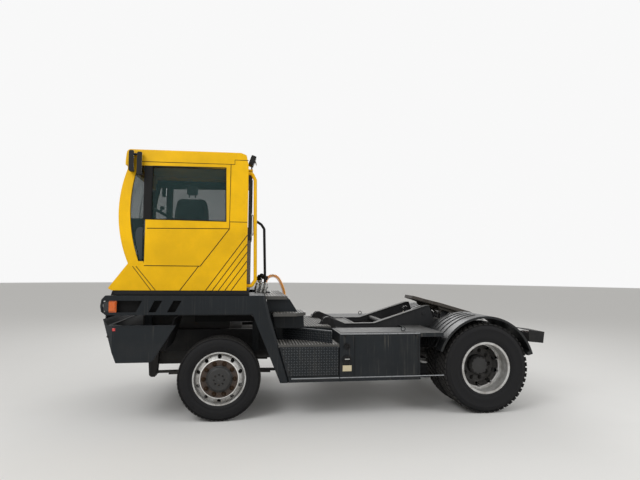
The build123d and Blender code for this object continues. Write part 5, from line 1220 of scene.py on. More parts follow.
def make_finishes(settings):
    """Every finish of the vehicle by its short name."""
    return {
        "wall_yellow": yellow_paint(settings, "wall_yellow", WALL_FELT_X),
        "cab_yellow": yellow_paint(settings, "cab_yellow", ROOF_FELT_X),
        "plain_yellow": yellow_paint(settings, "plain_yellow", None),
        "box": box_paint(settings),
        "anthracite": anthracite_paint(settings),
        "chassis": chassis_paint(settings),
        "casting": cast_iron_paint(),
        "moulded": moulded_plastic(),
        "fender": glossy_fender_plastic(),
        "glass": window_glass(),
        "tread": tread_metal(TREAD_LEVELS),
        "cooler": cooler_fins(),
        "boom": boom_paint(settings),
        "greased": greased_iron(),
        "rod": bare_metal("rod_chrome", (0.62, 0.62, 0.6), roughness=0.16, dirt=0.4),
        "front_wheel": wheel_finish("front_wheel_paint", FRONT_AXLE, (0.141, 0.200, 0.206), 0.86,
                                    ((0.018, 0.013, 0.010), (0.060, 0.033, 0.020))),
        "rear_wheel": wheel_finish("rear_wheel_paint", REAR_AXLE, (0.120, 0.246, 0.25), 0.62,
                                   ((0.02, 0.02, 0.02), (0.06, 0.056, 0.05))),
        "signal_lenses": lamp_lenses(),
        "red_lens": lens_plastic("red_lens", (0.5, 0.01, 0.008), alpha=1.0, pitch=0.006),
        "rear_door": door_finish(),
        "clear_lens": lens_plastic("clear_lens", (0.75, 0.78, 0.8), alpha=0.55, pitch=0.009),
        "stack": bare_metal("stack_metal", (0.09, 0.085, 0.08), roughness=0.5, dirt=0.8),
        "mirror_housing": mirror_finish(settings),
        "front_tyre": tyre_rubber("front_tyre_rubber", FRONT_AXLE, FRONT_TYRE_R),
        "rear_tyre": tyre_rubber("rear_tyre_rubber", REAR_AXLE, REAR_TYRE_R),
        "seat_cloth": seat_cloth(),
        "hose": hose_plastic(),
        "rusty_nut": bare_metal("rusty_nut", (0.045, 0.027, 0.016), roughness=0.6, dirt=1.0),
        "hub_dark": bare_metal("hub_dark", (0.035, 0.034, 0.033), roughness=0.45, dirt=0.7),
        "bright": bare_metal("bright_zinc", (0.55, 0.55, 0.53), roughness=0.3, dirt=0.35),
        "cream": blank_plate_finish(),
        "rubber": window_rubber(),
        "pocket": painted("pocket_grey", (0.035, 0.045, 0.05), roughness=0.4, coat=0.0, dust=0.1, streaks=0.0),
        "lugs": painted("chequer_sheet", (0.05, 0.056, 0.062), roughness=0.38, coat=0.1, dust=0.35, streaks=0.0,
                        edge_glint=1.0),
        "bolt": bare_metal("bolt_zinc", (0.03, 0.03, 0.031), roughness=0.5, dirt=0.4),
        # painted highlight: light grey metal for strips along lit edges
        "edge_highlight": bare_metal("worn_edge", (0.3, 0.31, 0.32), roughness=0.42, dirt=0.5),
    }


def dress_nodes(finishes):
    """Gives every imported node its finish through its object's material slots."""
    for finish, names in NODE_FINISHES.items():
        for name in names:
            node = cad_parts[name]
            if not node.material_slots:
                node.data.materials.append(None)
            for slot in node.material_slots:
                slot.link = "OBJECT"
                slot.material = finishes[finish]


# Stage

def aim_camera():
    """The photograph's camera: place, direction, roll and lens."""
    yaw, pitch, roll = (math.radians(angle) for angle in (CAMERA_YAW, CAMERA_PITCH, CAMERA_ROLL))
    forward = Vector((math.sin(yaw) * math.cos(pitch), math.cos(yaw) * math.cos(pitch), math.sin(pitch)))
    right = Vector((math.cos(yaw), -math.sin(yaw), 0.0))
    up = right.cross(forward)
    across = right * math.cos(roll) - up * math.sin(roll)
    above = right * math.sin(roll) + up * math.cos(roll)
    data = bpy.data.cameras.new("photo_camera")
    data.lens = CAMERA_LENS
    data.sensor_width = SENSOR_WIDTH
    data.sensor_fit = "HORIZONTAL"
    camera = bpy.data.objects.new("photo_camera", data)
    bpy.context.scene.collection.objects.link(camera)
    turn = Matrix((across, above, -forward)).transposed().to_4x4()
    camera.matrix_world = Matrix.Translation(Vector(CAMERA_PLACE)) @ turn
    bpy.context.scene.camera = camera


FLOOR_R = 60.0
FLOOR_DEPTH = 0.05


def lay_floor(colour):
    """A wide pale floor under the wheels."""
    profile = [(0.0, 0.0), (FLOOR_R, 0.0), (FLOOR_R, -FLOOR_DEPTH), (0.0, -FLOOR_DEPTH)]
    place = Matrix.Translation((-0.3, 0.0, CAD_BOX[0][2] - 0.0005))
    mesh = mesh_from("stage_floor", lambda form: add_turned(form, profile, 64, place))
    piece_from("stage_floor", mesh, pale_floor(colour))


def light_world(level, background):
    """Soft sky light, with a white background for the camera, for reflections and through glass."""
    world = bpy.data.worlds.new("studio")
    bpy.context.scene.world = world
    world.use_nodes = True
    tree = world.node_tree
    tree.nodes.clear()
    rays = tree.nodes.new("ShaderNodeLightPath")
    seen = None
    for ray in ("Is Camera Ray", "Is Glossy Ray", "Is Transmission Ray"):
        if seen is None:
            seen = rays.outputs[ray]
            continue
        either = tree.nodes.new("ShaderNodeMath")
        either.operation = "MAXIMUM"
        tree.links.new(seen, either.inputs[0])
        tree.links.new(rays.outputs[ray], either.inputs[1])
        seen = either.outputs[0]
    soft = tree.nodes.new("ShaderNodeBackground")
    soft.inputs["Color"].default_value = (1.0, 0.985, 0.96, 1.0)
    soft.inputs["Strength"].default_value = level
    plain = tree.nodes.new("ShaderNodeBackground")
    plain.inputs["Color"].default_value = colour4(background)
    plain.inputs["Strength"].default_value = 1.0
    choice = tree.nodes.new("ShaderNodeMixShader")
    tree.links.new(seen, choice.inputs[0])
    tree.links.new(soft.outputs[0], choice.inputs[1])
    tree.links.new(plain.outputs[0], choice.inputs[2])
    out = tree.nodes.new("ShaderNodeOutputWorld")
    tree.links.new(choice.outputs[0], out.inputs["Surface"])


STUDIO_LAMPS = [
    # name, place, aim, size in metres, watts
    ("key_light", (-5.5, -6.5, 7.0), (-0.5, 0.0, 1.2), 4.5, 340.0),
    ("fill_light", (5.5, -5.0, 4.0), (0.5, 0.0, 1.0), 4.0, 120.0),
    ("back_light", (1.0, 7.0, 6.0), (0.0, 0.0, 1.5), 5.0, 200.0),
]


def hang_lamps(strength):
    """Three large soft lamps."""
    for name, place, aim, size, watts in STUDIO_LAMPS:
        data = bpy.data.lights.new(name, "AREA")
        data.shape = "SQUARE"
        data.size = size
        data.energy = watts * strength
        lamp = bpy.data.objects.new(name, data)
        bpy.context.scene.collection.objects.link(lamp)
        direction = Vector(aim) - Vector(place)
        lamp.location = place
        lamp.rotation_euler = direction.to_track_quat("-Z", "Y").to_euler()


# Cab trim

CAB_LEFT = -1.22
CAB_RIGHT = 0.23
CAB_REAR = -1.10
CAB_BASE = 1.405
GROOVE_RISES = (0.606, 0.508, 0.417, 0.323, 0.230)
GROOVE_LEAN = 0.72
SEAM_LINES = [
    # each line's (x, z) points on the cab's side
    [(-2.181, 1.667), (-1.600, 1.667), (-1.297, 2.076)],
    [(-2.163, 2.066), (-1.297, 2.079), (-1.293, 2.790)],
    [(-1.297, 2.155), (-1.105, 2.155)],
    [(-1.618, 1.663), (-1.805, 1.407)],
    [(-2.297, 1.660), (-2.104, 1.407)],
    [(-2.262, 1.660), (-2.057, 1.407)],
    [(-2.187, 2.160), (-2.187, 1.700)],
    [(-2.246, 2.784), (-1.251, 2.793), (-1.251, 2.843), (-1.102, 2.843)],
]


def polylines_mesh(name, lines):
    """A mesh of edges only, for the strip tree to follow."""
    mesh = bpy.data.meshes.new(name)
    points = []
    edges = []
    for line in lines:
        start = len(points)
        points.extend(line)
        edges.extend((start + i, start + i + 1) for i in range(len(line) - 1))
    mesh.from_pydata(points, edges, [])
    return mesh


def strips(name, lines, half_width, half_height, material):
    """Thin strips along lines."""
    return grown(name, "strip", {"Half width": half_width, "Half height": half_height, "Material": material},
                 base=polylines_mesh(name + "_lines", lines))


def make_cab_seams(finishes):
    """The dark joints between the cab's panels and the five slanting grooves, on both sides."""
    lines = []
    for y in (CAB_LEFT, CAB_RIGHT):
        for line in SEAM_LINES:
            lines.append([(x, y, z) for x, z in line])
        for rise in GROOVE_RISES:
            lines.append([(CAB_REAR - 0.002, y, CAB_BASE + rise),
                          (CAB_REAR - rise * GROOVE_LEAN, y, CAB_BASE + 0.002)])
    mesh = strips("cab_seams", lines, 0.0014, 0.0032, finishes["rubber"])
    settle(mesh, "cab")


LEFT_GLASS = [(-2.124, 2.737), (-1.348, 2.750), (-1.336, 2.160), (-2.124, 2.166)]
QUARTER_PANEL = [(-2.338, 2.172), (-2.199, 2.172), (-2.199, 1.722), (-2.240, 1.722), (-2.312, 1.98), (-2.336, 2.10)]
QUARTER_POCKET = [(-2.206, 1.735), (-2.206, 2.075), (-2.232, 2.082), (-2.262, 2.066), (-2.280, 2.030), (-2.283, 1.97),
                  (-2.258, 1.85), (-2.232, 1.735)]


def add_plate(form, outline, y_from, y_to):
    """A plate whose outline stands in the side view."""
    near = [form.verts.new((x, y_from, z)) for x, z in outline]
    far = [form.verts.new((x, y_to, z)) for x, z in outline]
    form.faces.new(near)
    form.faces.new(far[::-1])
    for i in range(len(outline)):
        after = (i + 1) % len(outline)
        form.faces.new((near[i], far[i], far[after], near[after]))


def make_window_trim(finishes):
    """Black posts between the side panes, rubber round the panes and the lower corner's dark moulding."""
    def plates(form):
        for outer, step in ((CAB_LEFT, -1), (CAB_RIGHT, 1)):
            face = outer + step * 0.0025
            add_block(form, (-2.206, min(outer, face), 2.160), (-2.120, max(outer, face), 2.742), 0.0008)
            inner = outer - step * 0.026
            behind = inner - step * 0.006
            add_plate(form, QUARTER_PANEL, inner, behind)
    posts = mesh_from("window_posts", plates, finishes["rubber"])

    def pockets(form):
        for outer, step in ((CAB_LEFT, -1), (CAB_RIGHT, 1)):
            add_plate(form, QUARTER_POCKET, outer - step * 0.012, outer - step * 0.020)
    pocket = mesh_from("quarter_pockets", pockets, finishes["pocket"])
    lines = []
    for y in (CAB_LEFT - 0.001, CAB_RIGHT + 0.001):
        lines.append([(x, y, z) for x, z in LEFT_GLASS + LEFT_GLASS[:1]])
    seals = strips("window_seals", lines, 0.0016, 0.007, finishes["rubber"])
    mesh = joined("side_window_trim", [posts, pocket, seals])
    settle(mesh, "cab")


PILLAR_BOW = [(2.700, -2.378), (2.468, -2.441), (2.241, -2.456), (1.988, -2.430), (1.689, -2.345)]


def bow_x(z):
    """The windscreen's outer surface along X at a height, by Lagrange's polynomial through the pillar's bow."""
    total = 0.0
    for here, x in PILLAR_BOW:
        share = 1.0
        for other, _ in PILLAR_BOW:
            if other != here:
                share *= (z - other) / (here - other)
        total += share * x
    return total


WIPER_PIVOT_Z = 1.735
WIPER_TOP_Z = 2.37
WIPER_PIVOTS = (-0.78, -0.22)


def make_wipers(finishes):
    """Two parked wipers on the bowed windscreen: arm, link and thin blade."""
    def build(form):
        for y in WIPER_PIVOTS:
            hub = Matrix.Translation((bow_x(WIPER_PIVOT_Z) - 0.002, y, WIPER_PIVOT_Z)) @ Matrix.Rotation(
                math.radians(-90), 4, "Y")
            add_turned(form, [(0.0, 0.0), (0.02, 0.0), (0.02, 0.012), (0.014, 0.022), (0.0, 0.024)], 20, hub)
            levels = [WIPER_PIVOT_Z + (WIPER_TOP_Z - WIPER_PIVOT_Z) * i / 10 for i in range(11)]
            add_tube(form, [(bow_x(z) - 0.020, y + 0.05 * (z - WIPER_PIVOT_Z), z) for z in levels[:8]], 0.0045, 8)
            blade = [WIPER_PIVOT_Z + 0.08 + (WIPER_TOP_Z + 0.12 - WIPER_PIVOT_Z) * i / 14 for i in range(15)]
            add_tube(form, [(bow_x(z) - 0.008, y + 0.03 + 0.02 * (z - WIPER_PIVOT_Z), z) for z in blade], 0.005, 6)
            link = WIPER_PIVOT_Z + 0.42
            add_block(form, (bow_x(link) - 0.024, y + 0.012, link - 0.02), (bow_x(link) - 0.004, y + 0.05, link + 0.02),
                      0.003)
    mesh = mesh_from("wipers", build)
    smooth(mesh)
    settle(mesh, "cab", finishes["moulded"])


def make_door_parts(finishes):
    """The sliding door's handle and the rubber round its pane."""
    def build(form):
        rail = [(-1.060, -1.045, 2.02), (-1.040, -1.045, 2.03), (-1.036, -1.045, 2.06), (-1.036, -1.045, 2.22),
                (-1.040, -1.045, 2.25), (-1.060, -1.045, 2.26)]
        add_tube(form, rail, 0.008, 10)
        for z in (2.02, 2.26):
            add_block(form, (-1.062, -1.058, z - 0.018), (-1.056, -1.032, z + 0.018), 0.002)
    handle = mesh_from("door_handle", build, finishes["bright"])
    smooth(handle)
    low, high = node_box("rear_door_glass")
    x = -1.0595
    pane = [(x, low.y, low.z), (x, high.y, low.z), (x, high.y, high.z), (x, low.y, high.z), (x, low.y, low.z)]
    seal = strips("door_seal", [pane], 0.009, 0.003, finishes["rubber"])
    mesh = joined("door_fittings", [handle, seal])
    settle(mesh, "door")


# Seat and driver's place

SEAT_X = -1.74
SEAT_Y = -0.56
CUSHION_Z = (1.8303, 1.950)
CUSHION_HALF = 0.24
BACK_Y = (-0.905, -0.800)
BACK_Z = (1.960, 2.460)
BACK_HALVES = ((0.0, 0.195), (0.3, 0.212), (0.7, 0.205), (1.0, 0.168))
HEADREST_Z = (2.487, 2.590)
HEADREST_HALF = 0.065
PAD_VOXEL = 0.010
PAD_PRESSURE = 4.0
PAD_QUALITY = 4
PAD_STEPS = 20


def inflated(name, start, shrink, cap):
    """A padded form: remeshed, blown up as cloth from a smaller start, its swelling capped, and subdivided once."""
    centre = sum((Vector(v.co) for v in start.vertices), Vector()) / len(start.vertices)
    start.transform(Matrix.Translation(centre) @ Matrix.Diagonal((*shrink, 1.0)) @ Matrix.Translation(-centre))
    holder = piece_from(name + "_start", start, None)
    remesh = holder.modifiers.new("remesh", "REMESH")
    remesh.mode = "VOXEL"
    remesh.voxel_size = PAD_VOXEL
    dense = evaluated(holder)
    bpy.data.objects.remove(holder)
    holder = piece_from(name + "_cloth", dense, None)
    cloth = holder.modifiers.new("cloth", "CLOTH")
    cloth.settings.use_pressure = True
    cloth.settings.uniform_pressure_force = PAD_PRESSURE
    cloth.settings.effector_weights.gravity = 0.0
    cloth.settings.quality = PAD_QUALITY
    cloth.point_cache.frame_start = 1
    cloth.point_cache.frame_end = PAD_STEPS
    for step in range(1, PAD_STEPS + 1):
        bpy.context.scene.frame_set(step)
    blown = evaluated(holder)
    for before, after in zip(dense.vertices, blown.vertices):
        move = after.co - before.co
        if move.length > cap:
            after.co = before.co + move.normalized() * cap
    bpy.context.scene.frame_set(1)
    bpy.data.objects.remove(holder)
    dense = blown
    holder = piece_from(name + "_smooth", dense, None)
    finer = holder.modifiers.new("finer", "SUBSURF")
    finer.levels = finer.render_levels = 1
    mesh = evaluated(holder)
    bpy.data.objects.remove(holder)
    mesh.name = name
    mesh.shade_smooth()
    return mesh


def sewn(mesh, axis, places, face, depth, width):
    """Presses sewn channels into the side of a pad that faces along a direction."""
    for vert in mesh.vertices:
        out = vert.normal.dot(face)
        if out < 0.3:
            continue
        press = sum(math.exp(-((vert.co[axis] - place) / width) ** 2) for place in places)
        vert.co -= Vector(face) * depth * press * out


def kept_in(mesh, low, high):
    """Holds a pad's points inside its own space."""
    for vert in mesh.vertices:
        vert.co = Vector(max(a, min(b, c)) for a, c, b in zip(low, vert.co, high))


def pad_block(name, low, high, bevel):
    return mesh_from(name, lambda form: add_block(form, low, high, bevel))


def make_seat(finishes):
    """The turned seat's cushion, its shouldered back and its narrow headrest, in black cloth."""
    cloth = finishes["seat_cloth"]
    low = (SEAT_X - CUSHION_HALF, SEAT_Y - CUSHION_HALF, CUSHION_Z[0])
    high = (SEAT_X + CUSHION_HALF, SEAT_Y + CUSHION_HALF, CUSHION_Z[1])
    cushion = inflated("seat_cushion_pad", pad_block("cushion", low, high, 0.045), (0.97, 0.97, 0.86), 0.014)
    sewn(cushion, 0, (SEAT_X - 0.09, SEAT_X + 0.09), Vector((0, 0, 1)), 0.009, 0.007)
    sewn(cushion, 1, (SEAT_Y - 0.06, SEAT_Y + 0.07), Vector((0, 0, 1)), 0.006, 0.006)
    kept_in(cushion, low, (high[0], high[1], high[2] + 0.012))
    piece = settle(cushion, "cab", cloth)
    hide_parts("seat_cushion")

    def back(form):
        outline = [(half, BACK_Z[0] + share * (BACK_Z[1] - BACK_Z[0])) for share, half in BACK_HALVES]
        ring = [(SEAT_X + half, z) for half, z in outline] + [(SEAT_X - half, z) for half, z in reversed(outline)]
        add_plate(form, ring, BACK_Y[0] + 0.002, BACK_Y[1] - 0.002)
        edges = [e for e in form.edges if abs(e.verts[0].co.y - e.verts[1].co.y) > 0.01]
        bmesh.ops.bevel(form, geom=edges, offset=0.05, segments=4, profile=0.5, affect="EDGES")
        bmesh.ops.bevel(form, geom=list(form.edges), offset=0.012, segments=2, profile=0.5, affect="EDGES",
                        clamp_overlap=True)
    shell = inflated("seat_back_pad", mesh_from("back", back), (0.98, 0.84, 0.98), 0.014)
    sewn(shell, 2, (2.08, 2.20, 2.32), Vector((0, 1, 0)), 0.009, 0.007)
    sewn(shell, 2, (2.36,), Vector((0, -1, 0)), 0.003, 0.005)
    kept_in(shell, (SEAT_X - 0.222, BACK_Y[0], BACK_Z[0]), (SEAT_X + 0.222, BACK_Y[1] + 0.012, BACK_Z[1] + 0.006))
    low = (SEAT_X - HEADREST_HALF, BACK_Y[0] + 0.005, HEADREST_Z[0])
    high = (SEAT_X + HEADREST_HALF, BACK_Y[1] - 0.010, HEADREST_Z[1])
    rest = inflated("headrest", pad_block("rest", low, high, 0.022), (0.94, 0.86, 0.94), 0.008)
    kept_in(rest, low, high)
    mesh = joined("seat_back_pads", [shell, rest], cloth)
    mesh.shade_smooth()
    piece = settle(mesh, "cab")
    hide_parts("seat_back")


STEER_CENTRE = Vector((-2.020, -0.56, 2.250))
STEER_TILT = math.radians(28)


def make_driver_controls(finishes):
    """The wheel's spinner knob, the column's two levers and the shift stick on its boot."""
    axis = Vector((math.sin(STEER_TILT), 0.0, math.cos(STEER_TILT)))
    along = Vector((math.cos(STEER_TILT), 0.0, -math.sin(STEER_TILT)))
    aside = axis.cross(along)
    turn = Matrix((along, aside, axis)).transposed().to_4x4()

    def build(form):
        knob = Matrix.Translation(STEER_CENTRE + along * -0.11 - aside * 0.18 + axis * 0.012) @ turn
        add_turned(form, [(0.0, 0.0), (0.014, 0.0), (0.012, 0.018), (0.024, 0.030), (0.027, 0.045), (0.020, 0.058),
                          (0.0, 0.062)], 24, knob)
        foot = STEER_CENTRE - axis * 0.09
        for sign, reach in ((-1, 0.15), (1, 0.13)):
            tip = foot + aside * sign * reach + along * -0.02 + axis * 0.012
            add_tube(form, [foot + aside * sign * 0.03, foot + aside * sign * 0.07 + axis * 0.004, tip], 0.006, 10)
            add_turned(form, [(0.0, -0.02), (0.009, -0.02), (0.011, 0.0), (0.009, 0.02), (0.0, 0.022)], 14,
                       Matrix.Translation(tip) @ Matrix.Rotation(math.radians(90), 4, "X"))
        shift = Vector((-1.93, -0.20, 1.92))
        add_tube(form, [shift, shift + Vector((0.01, 0.0, 0.12)), shift + Vector((0.03, 0.0, 0.22))], 0.008, 10)
        add_turned(form, [(0.0, -0.02), (0.018, -0.014), (0.024, 0.006), (0.017, 0.026), (0.0, 0.031)], 18,
                   Matrix.Translation(shift + Vector((0.033, 0.0, 0.235))))
        add_turned(form, [(0.0, -0.03), (0.05, -0.03), (0.035, 0.0), (0.012, 0.02), (0.0, 0.02)], 18,
                   Matrix.Translation(shift))
    mesh = mesh_from("driver_controls", build)
    smooth(mesh)
    settle(mesh, "cab", finishes["moulded"])


# Chequered sheet, bolts and dark sheets of painted shade

LUG_LENGTH = 0.026
LUG_WIDTH = 0.009
LUG_RISE = 0.0018


def add_lug(form):
    """One raised lug of chequered sheet, pointed at both ends."""
    half, wide = LUG_LENGTH / 2, LUG_WIDTH / 2
    foot = [form.verts.new(p) for p in ((-half, 0, 0), (-half * 0.4, -wide, 0), (half * 0.4, -wide, 0), (half, 0, 0),
                                        (half * 0.4, wide, 0), (-half * 0.4, wide, 0))]
    ridge = [form.verts.new((-half * 0.55, 0, LUG_RISE)), form.verts.new((half * 0.55, 0, LUG_RISE))]
    for corners in ((0, 1, 6), (1, 2, 7, 6), (2, 3, 7), (3, 4, 7), (4, 5, 6, 7), (5, 0, 6)):
        form.faces.new([(foot + ridge)[i] for i in corners])
    form.faces.new(foot[::-1])


KICK_SHEET = [(-0.736, 0.792), (-0.085, 0.792), (-0.085, 0.476), (-0.640, 0.476)]
KICK_FACE = 1.2480
RISER_START = Vector((-0.744, -0.624, 0.0))
RISER_END = Vector((-0.144, -1.190, 0.0))
RISER_Z = (0.822, 0.956)
RISER_WAY = (RISER_END - RISER_START).normalized()
RISER_OUT = RISER_WAY.cross(Vector((0, 0, 1)))
CHEQUERED = [
    # name, width, depth, middle, its right-hand direction, its facing direction
    ("kick_panel_left", 0.63, 0.29, (-0.405, -KICK_FACE, 0.634), (1, 0, 0), (0, -1, 0)),
    ("riser", 0.82, 0.11, (RISER_START + RISER_END) / 2 + RISER_OUT * 0.0045 + Vector((0, 0, 0.889)), RISER_WAY,
     RISER_OUT),
]
LUG_PITCH = 0.030
LEDGE = ((-0.744, -1.240, 0.786), (-0.6405, -0.842, 0.820))


def past_the_leg(co):
    """Whether a point of the kick panel lies beyond its slanting front edge."""
    return co.x < -0.719 + (0.792 - co.z) * 0.304 and abs(co.y) > 1.2


def trimmed(mesh, beyond):
    """Takes off every lug that has a point beyond a border."""
    form = bmesh.new()
    form.from_mesh(mesh)
    waiting = [vert for vert in form.verts if beyond(vert.co)]
    reach = set(waiting)
    while waiting:
        vert = waiting.pop()
        for edge in vert.link_edges:
            other = edge.other_vert(vert)
            if other not in reach:
                reach.add(other)
                waiting.append(other)
    bmesh.ops.delete(form, geom=list(reach), context="VERTS")
    form.to_mesh(mesh)
    form.free()


def sheet_place(middle, right, facing):
    """The place of a lug field: its X runs to the right and its Z faces out."""
    x = Vector(right).normalized()
    z = Vector(facing).normalized()
    turn = Matrix((x, z.cross(x), z)).transposed().to_4x4()
    return Matrix.Translation(Vector(middle)) @ turn


def make_chequer(finishes):
    """The chequered kick panel and riser with their raised lugs, and the ledge beside the lowest tread."""
    lug = source_object("lug_source", mesh_from("lug", add_lug))
    fields = []
    for name, width, depth, middle, right, facing in CHEQUERED:
        values = {"Source": lug, "Columns": round(width / LUG_PITCH) + 1, "Rows": round(depth / LUG_PITCH) + 1,
                  "Width": width, "Depth": depth, "Turn": math.radians(45), "Material": finishes["lugs"]}
        field = grown(name, "grid", values, place=sheet_place(middle, right, facing))
        trimmed(field, past_the_leg)
        fields.append(field)
    bpy.data.objects.remove(lug)

    def sheets(form):
        add_plate(form, KICK_SHEET, -KICK_FACE, -KICK_FACE + 0.003)
        low, high = RISER_Z
        corners = [spot + RISER_OUT * out for spot, out in ((RISER_START, 0.0005), (RISER_END, 0.0005),
                                                            (RISER_END, 0.004), (RISER_START, 0.004))]
        foot = [form.verts.new(p + Vector((0, 0, low))) for p in corners]
        top = [form.verts.new(p + Vector((0, 0, high))) for p in corners]
        form.faces.new(foot[::-1])
        form.faces.new(top)
        for i in range(4):
            after = (i + 1) % 4
            form.faces.new((foot[i], foot[after], top[after], top[i]))
    fields.append(mesh_from("chequer_sheets", sheets, finishes["anthracite"]))
    fields.append(mesh_from("tread_ledge", lambda form: add_block(form, *LEDGE, 0.003), finishes["tread"]))
    # painted highlight: a light strip along the riser's top edge
    line = [tuple(p + Vector((0, 0, RISER_Z[1])) + RISER_OUT * 0.002) for p in (RISER_START, RISER_END)]
    fields.append(strips("riser_trim", [line], 0.004, 0.005, finishes["edge_highlight"]))
    mesh = joined("chequer_lugs", fields)
    settle(mesh, "chassis")


BOLT_SIZE = (0.009, 0.007)
BOLT_FACE = 1.2422
BOLT_PLACES = [
    # x and z on both flanks
    (-1.717, 1.168), (-1.141, 1.176), (-0.930, 1.042), (-0.736, 0.550), (-2.513, 0.929),
    (-2.465, 0.992), (0.000, 0.905), (0.820, 0.905),
]
KICK_BOLTS = [(-0.690, 0.765), (-0.110, 0.765), (-0.110, 0.520), (-0.620, 0.520)]
# Dark sheets that stand as painted shade behind slots and in the arches
SHADE_SHEETS = [
    # the low corner and the high corner
    ((-2.470, -1.170, 1.156), (-1.700, -1.167, 1.335)),
    ((-2.470, 1.167, 1.156), (-1.700, 1.170, 1.335)),
    ((-1.700, -0.62, 1.010), (-0.880, -0.616, 1.340)),
    ((-1.700, 0.616, 1.010), (-0.880, 0.62, 1.340)),
]


def make_side_bolts(finishes):
    """Bolt heads along both flanks and on the kick panel."""
    bolt = source_object("side_bolt", mesh_from("side_bolt", lambda form: add_nut(form, *BOLT_SIZE, Matrix())))
    halves = []
    for side in (-1, 1):
        base = bpy.data.meshes.new("bolt_points")
        places = BOLT_PLACES + KICK_BOLTS if side < 0 else BOLT_PLACES
        base.from_pydata([(x, z, 0.0) for x, z in places], [], [])
        place = Matrix.Translation((0, side * BOLT_FACE, 0)) @ Matrix.Rotation(math.radians(90), 4, "X")
        if side > 0:
            place = place @ Matrix.Diagonal((1, 1, -1, 1))
        mesh = grown("side_bolts", "points", {"Source": bolt, "Material": finishes["bolt"]}, base=base, place=place)
        if side > 0:
            mesh.flip_normals()
        halves.append(mesh)
    bpy.data.objects.remove(bolt)
    mesh = joined("flank_bolts", halves)
    settle(mesh, "chassis")


def make_shade_sheets(finishes):
    """Dark rubber sheets set behind the frame's slots and in the wheel arches as painted shade."""
    def build(form):
        for low, high in SHADE_SHEETS:
            add_block(form, low, high, 0.001)
    mesh = mesh_from("splash_sheets", build)
    settle(mesh, "chassis", finishes["rubber"])


# Box details

CAP_FACE = -1.262
CAP_PLACES = [
    # x, z, radius
    (0.017, 0.792, 0.034), (0.018, 0.645, 0.048),
]
CREAM_PLATE = ((-0.032, -1.2535, 0.520), (0.069, -1.2502, 0.584))
BOX_SIDE = 1.2502
BOX_JOINTS = [[(0.105, 0.462), (0.105, 0.900)], [(0.845, 0.462), (0.845, 0.900)], [(-0.055, 0.452), (0.860, 0.452)]]
# Light strips that paint highlights along the side boxes' edges
HIGHLIGHT_SIDE = 1.2508
HIGHLIGHT_EDGES = [
    # x from, x to, y, z
    (-0.060, 0.866, -HIGHLIGHT_SIDE, 0.926), (-0.600, -0.070, -HIGHLIGHT_SIDE, 0.450), (-0.060, 1.150, -HIGHLIGHT_SIDE, 0.450),
    (-0.060, 0.866, HIGHLIGHT_SIDE, 0.926),
]


def make_box_details(finishes):
    """The caps' rings and grip bar, the cream plate that carries nothing, the boxes' joints and painted highlight
    strips along their edges.
    """
    def rings(form):
        for x, z, radius in CAP_PLACES:
            place = Matrix.Translation((x, CAP_FACE, z)) @ Matrix.Rotation(math.radians(90), 4, "X")
            inner, outer, knob = radius * 0.72, radius * 0.9, radius * 0.16
            add_turned(form, [(inner, 0.0), (outer, 0.0), (outer, 0.004), (inner, 0.004)], 40, place)
            add_turned(form, [(0.0, 0.0), (knob, 0.0), (knob, 0.003), (0.0, 0.003)], 20, place)
    ring = mesh_from("cap_rings", rings, finishes["moulded"])
    smooth(ring)
    x, z, radius = CAP_PLACES[1]
    bar = ((x - radius * 0.6, CAP_FACE - 0.008, z + 0.004), (x + radius * 0.55, CAP_FACE, z + 0.014))
    grip = mesh_from("cap_grip", lambda form: add_block(form, *bar, 0.002), finishes["bright"])
    plate = mesh_from("blank_plate", lambda form: add_block(form, *CREAM_PLATE, 0.0012), finishes["cream"])
    lines = [[(x, y, z) for x, z in line] for y in (-BOX_SIDE, BOX_SIDE) for line in BOX_JOINTS]
    joints = strips("box_joints", lines, 0.0010, 0.0022, finishes["rubber"])
    # painted highlights: light strips along the boxes' edges
    edges = [[(x, y, z), (end, y, z)] for x, end, y, z in HIGHLIGHT_EDGES]
    glinting_edges = strips("box_edges", edges, 0.0014, 0.006, finishes["edge_highlight"])
    mesh = joined("box_details", [ring, grip, plate, joints, glinting_edges])
    settle(mesh, "chassis")


# Couplings behind the cab

COUPLING_DRUM = [(0.0, 0.0), (0.026, 0.0), (0.030, 0.006), (0.030, 0.026), (0.024, 0.034), (0.0, 0.036)]
COUPLING_NECK = [(0.0, -0.045), (0.011, -0.045), (0.011, -0.03), (0.014, -0.03), (0.014, 0.0), (0.0, 0.0)]
SOCKET_SHAPE = [(0.0, 0.0), (0.014, 0.0), (0.014, 0.022), (0.019, 0.026), (0.019, 0.052), (0.016, 0.056),
                (0.016, 0.078), (0.010, 0.082), (0.0, 0.082)]
PLUG_SHAPE = [(0.0, 0.0), (0.036, 0.0), (0.038, 0.008), (0.038, 0.050), (0.030, 0.058), (0.0, 0.060)]


def add_coupling(form, place):
    """A palm coupling: a flat drum with its lug and its neck."""
    add_turned(form, COUPLING_DRUM, 28, place)
    add_block(form, (0.012, -0.012, 0.006), (0.052, 0.012, 0.020), 0.003, place)
    add_turned(form, COUPLING_NECK, 16, place)


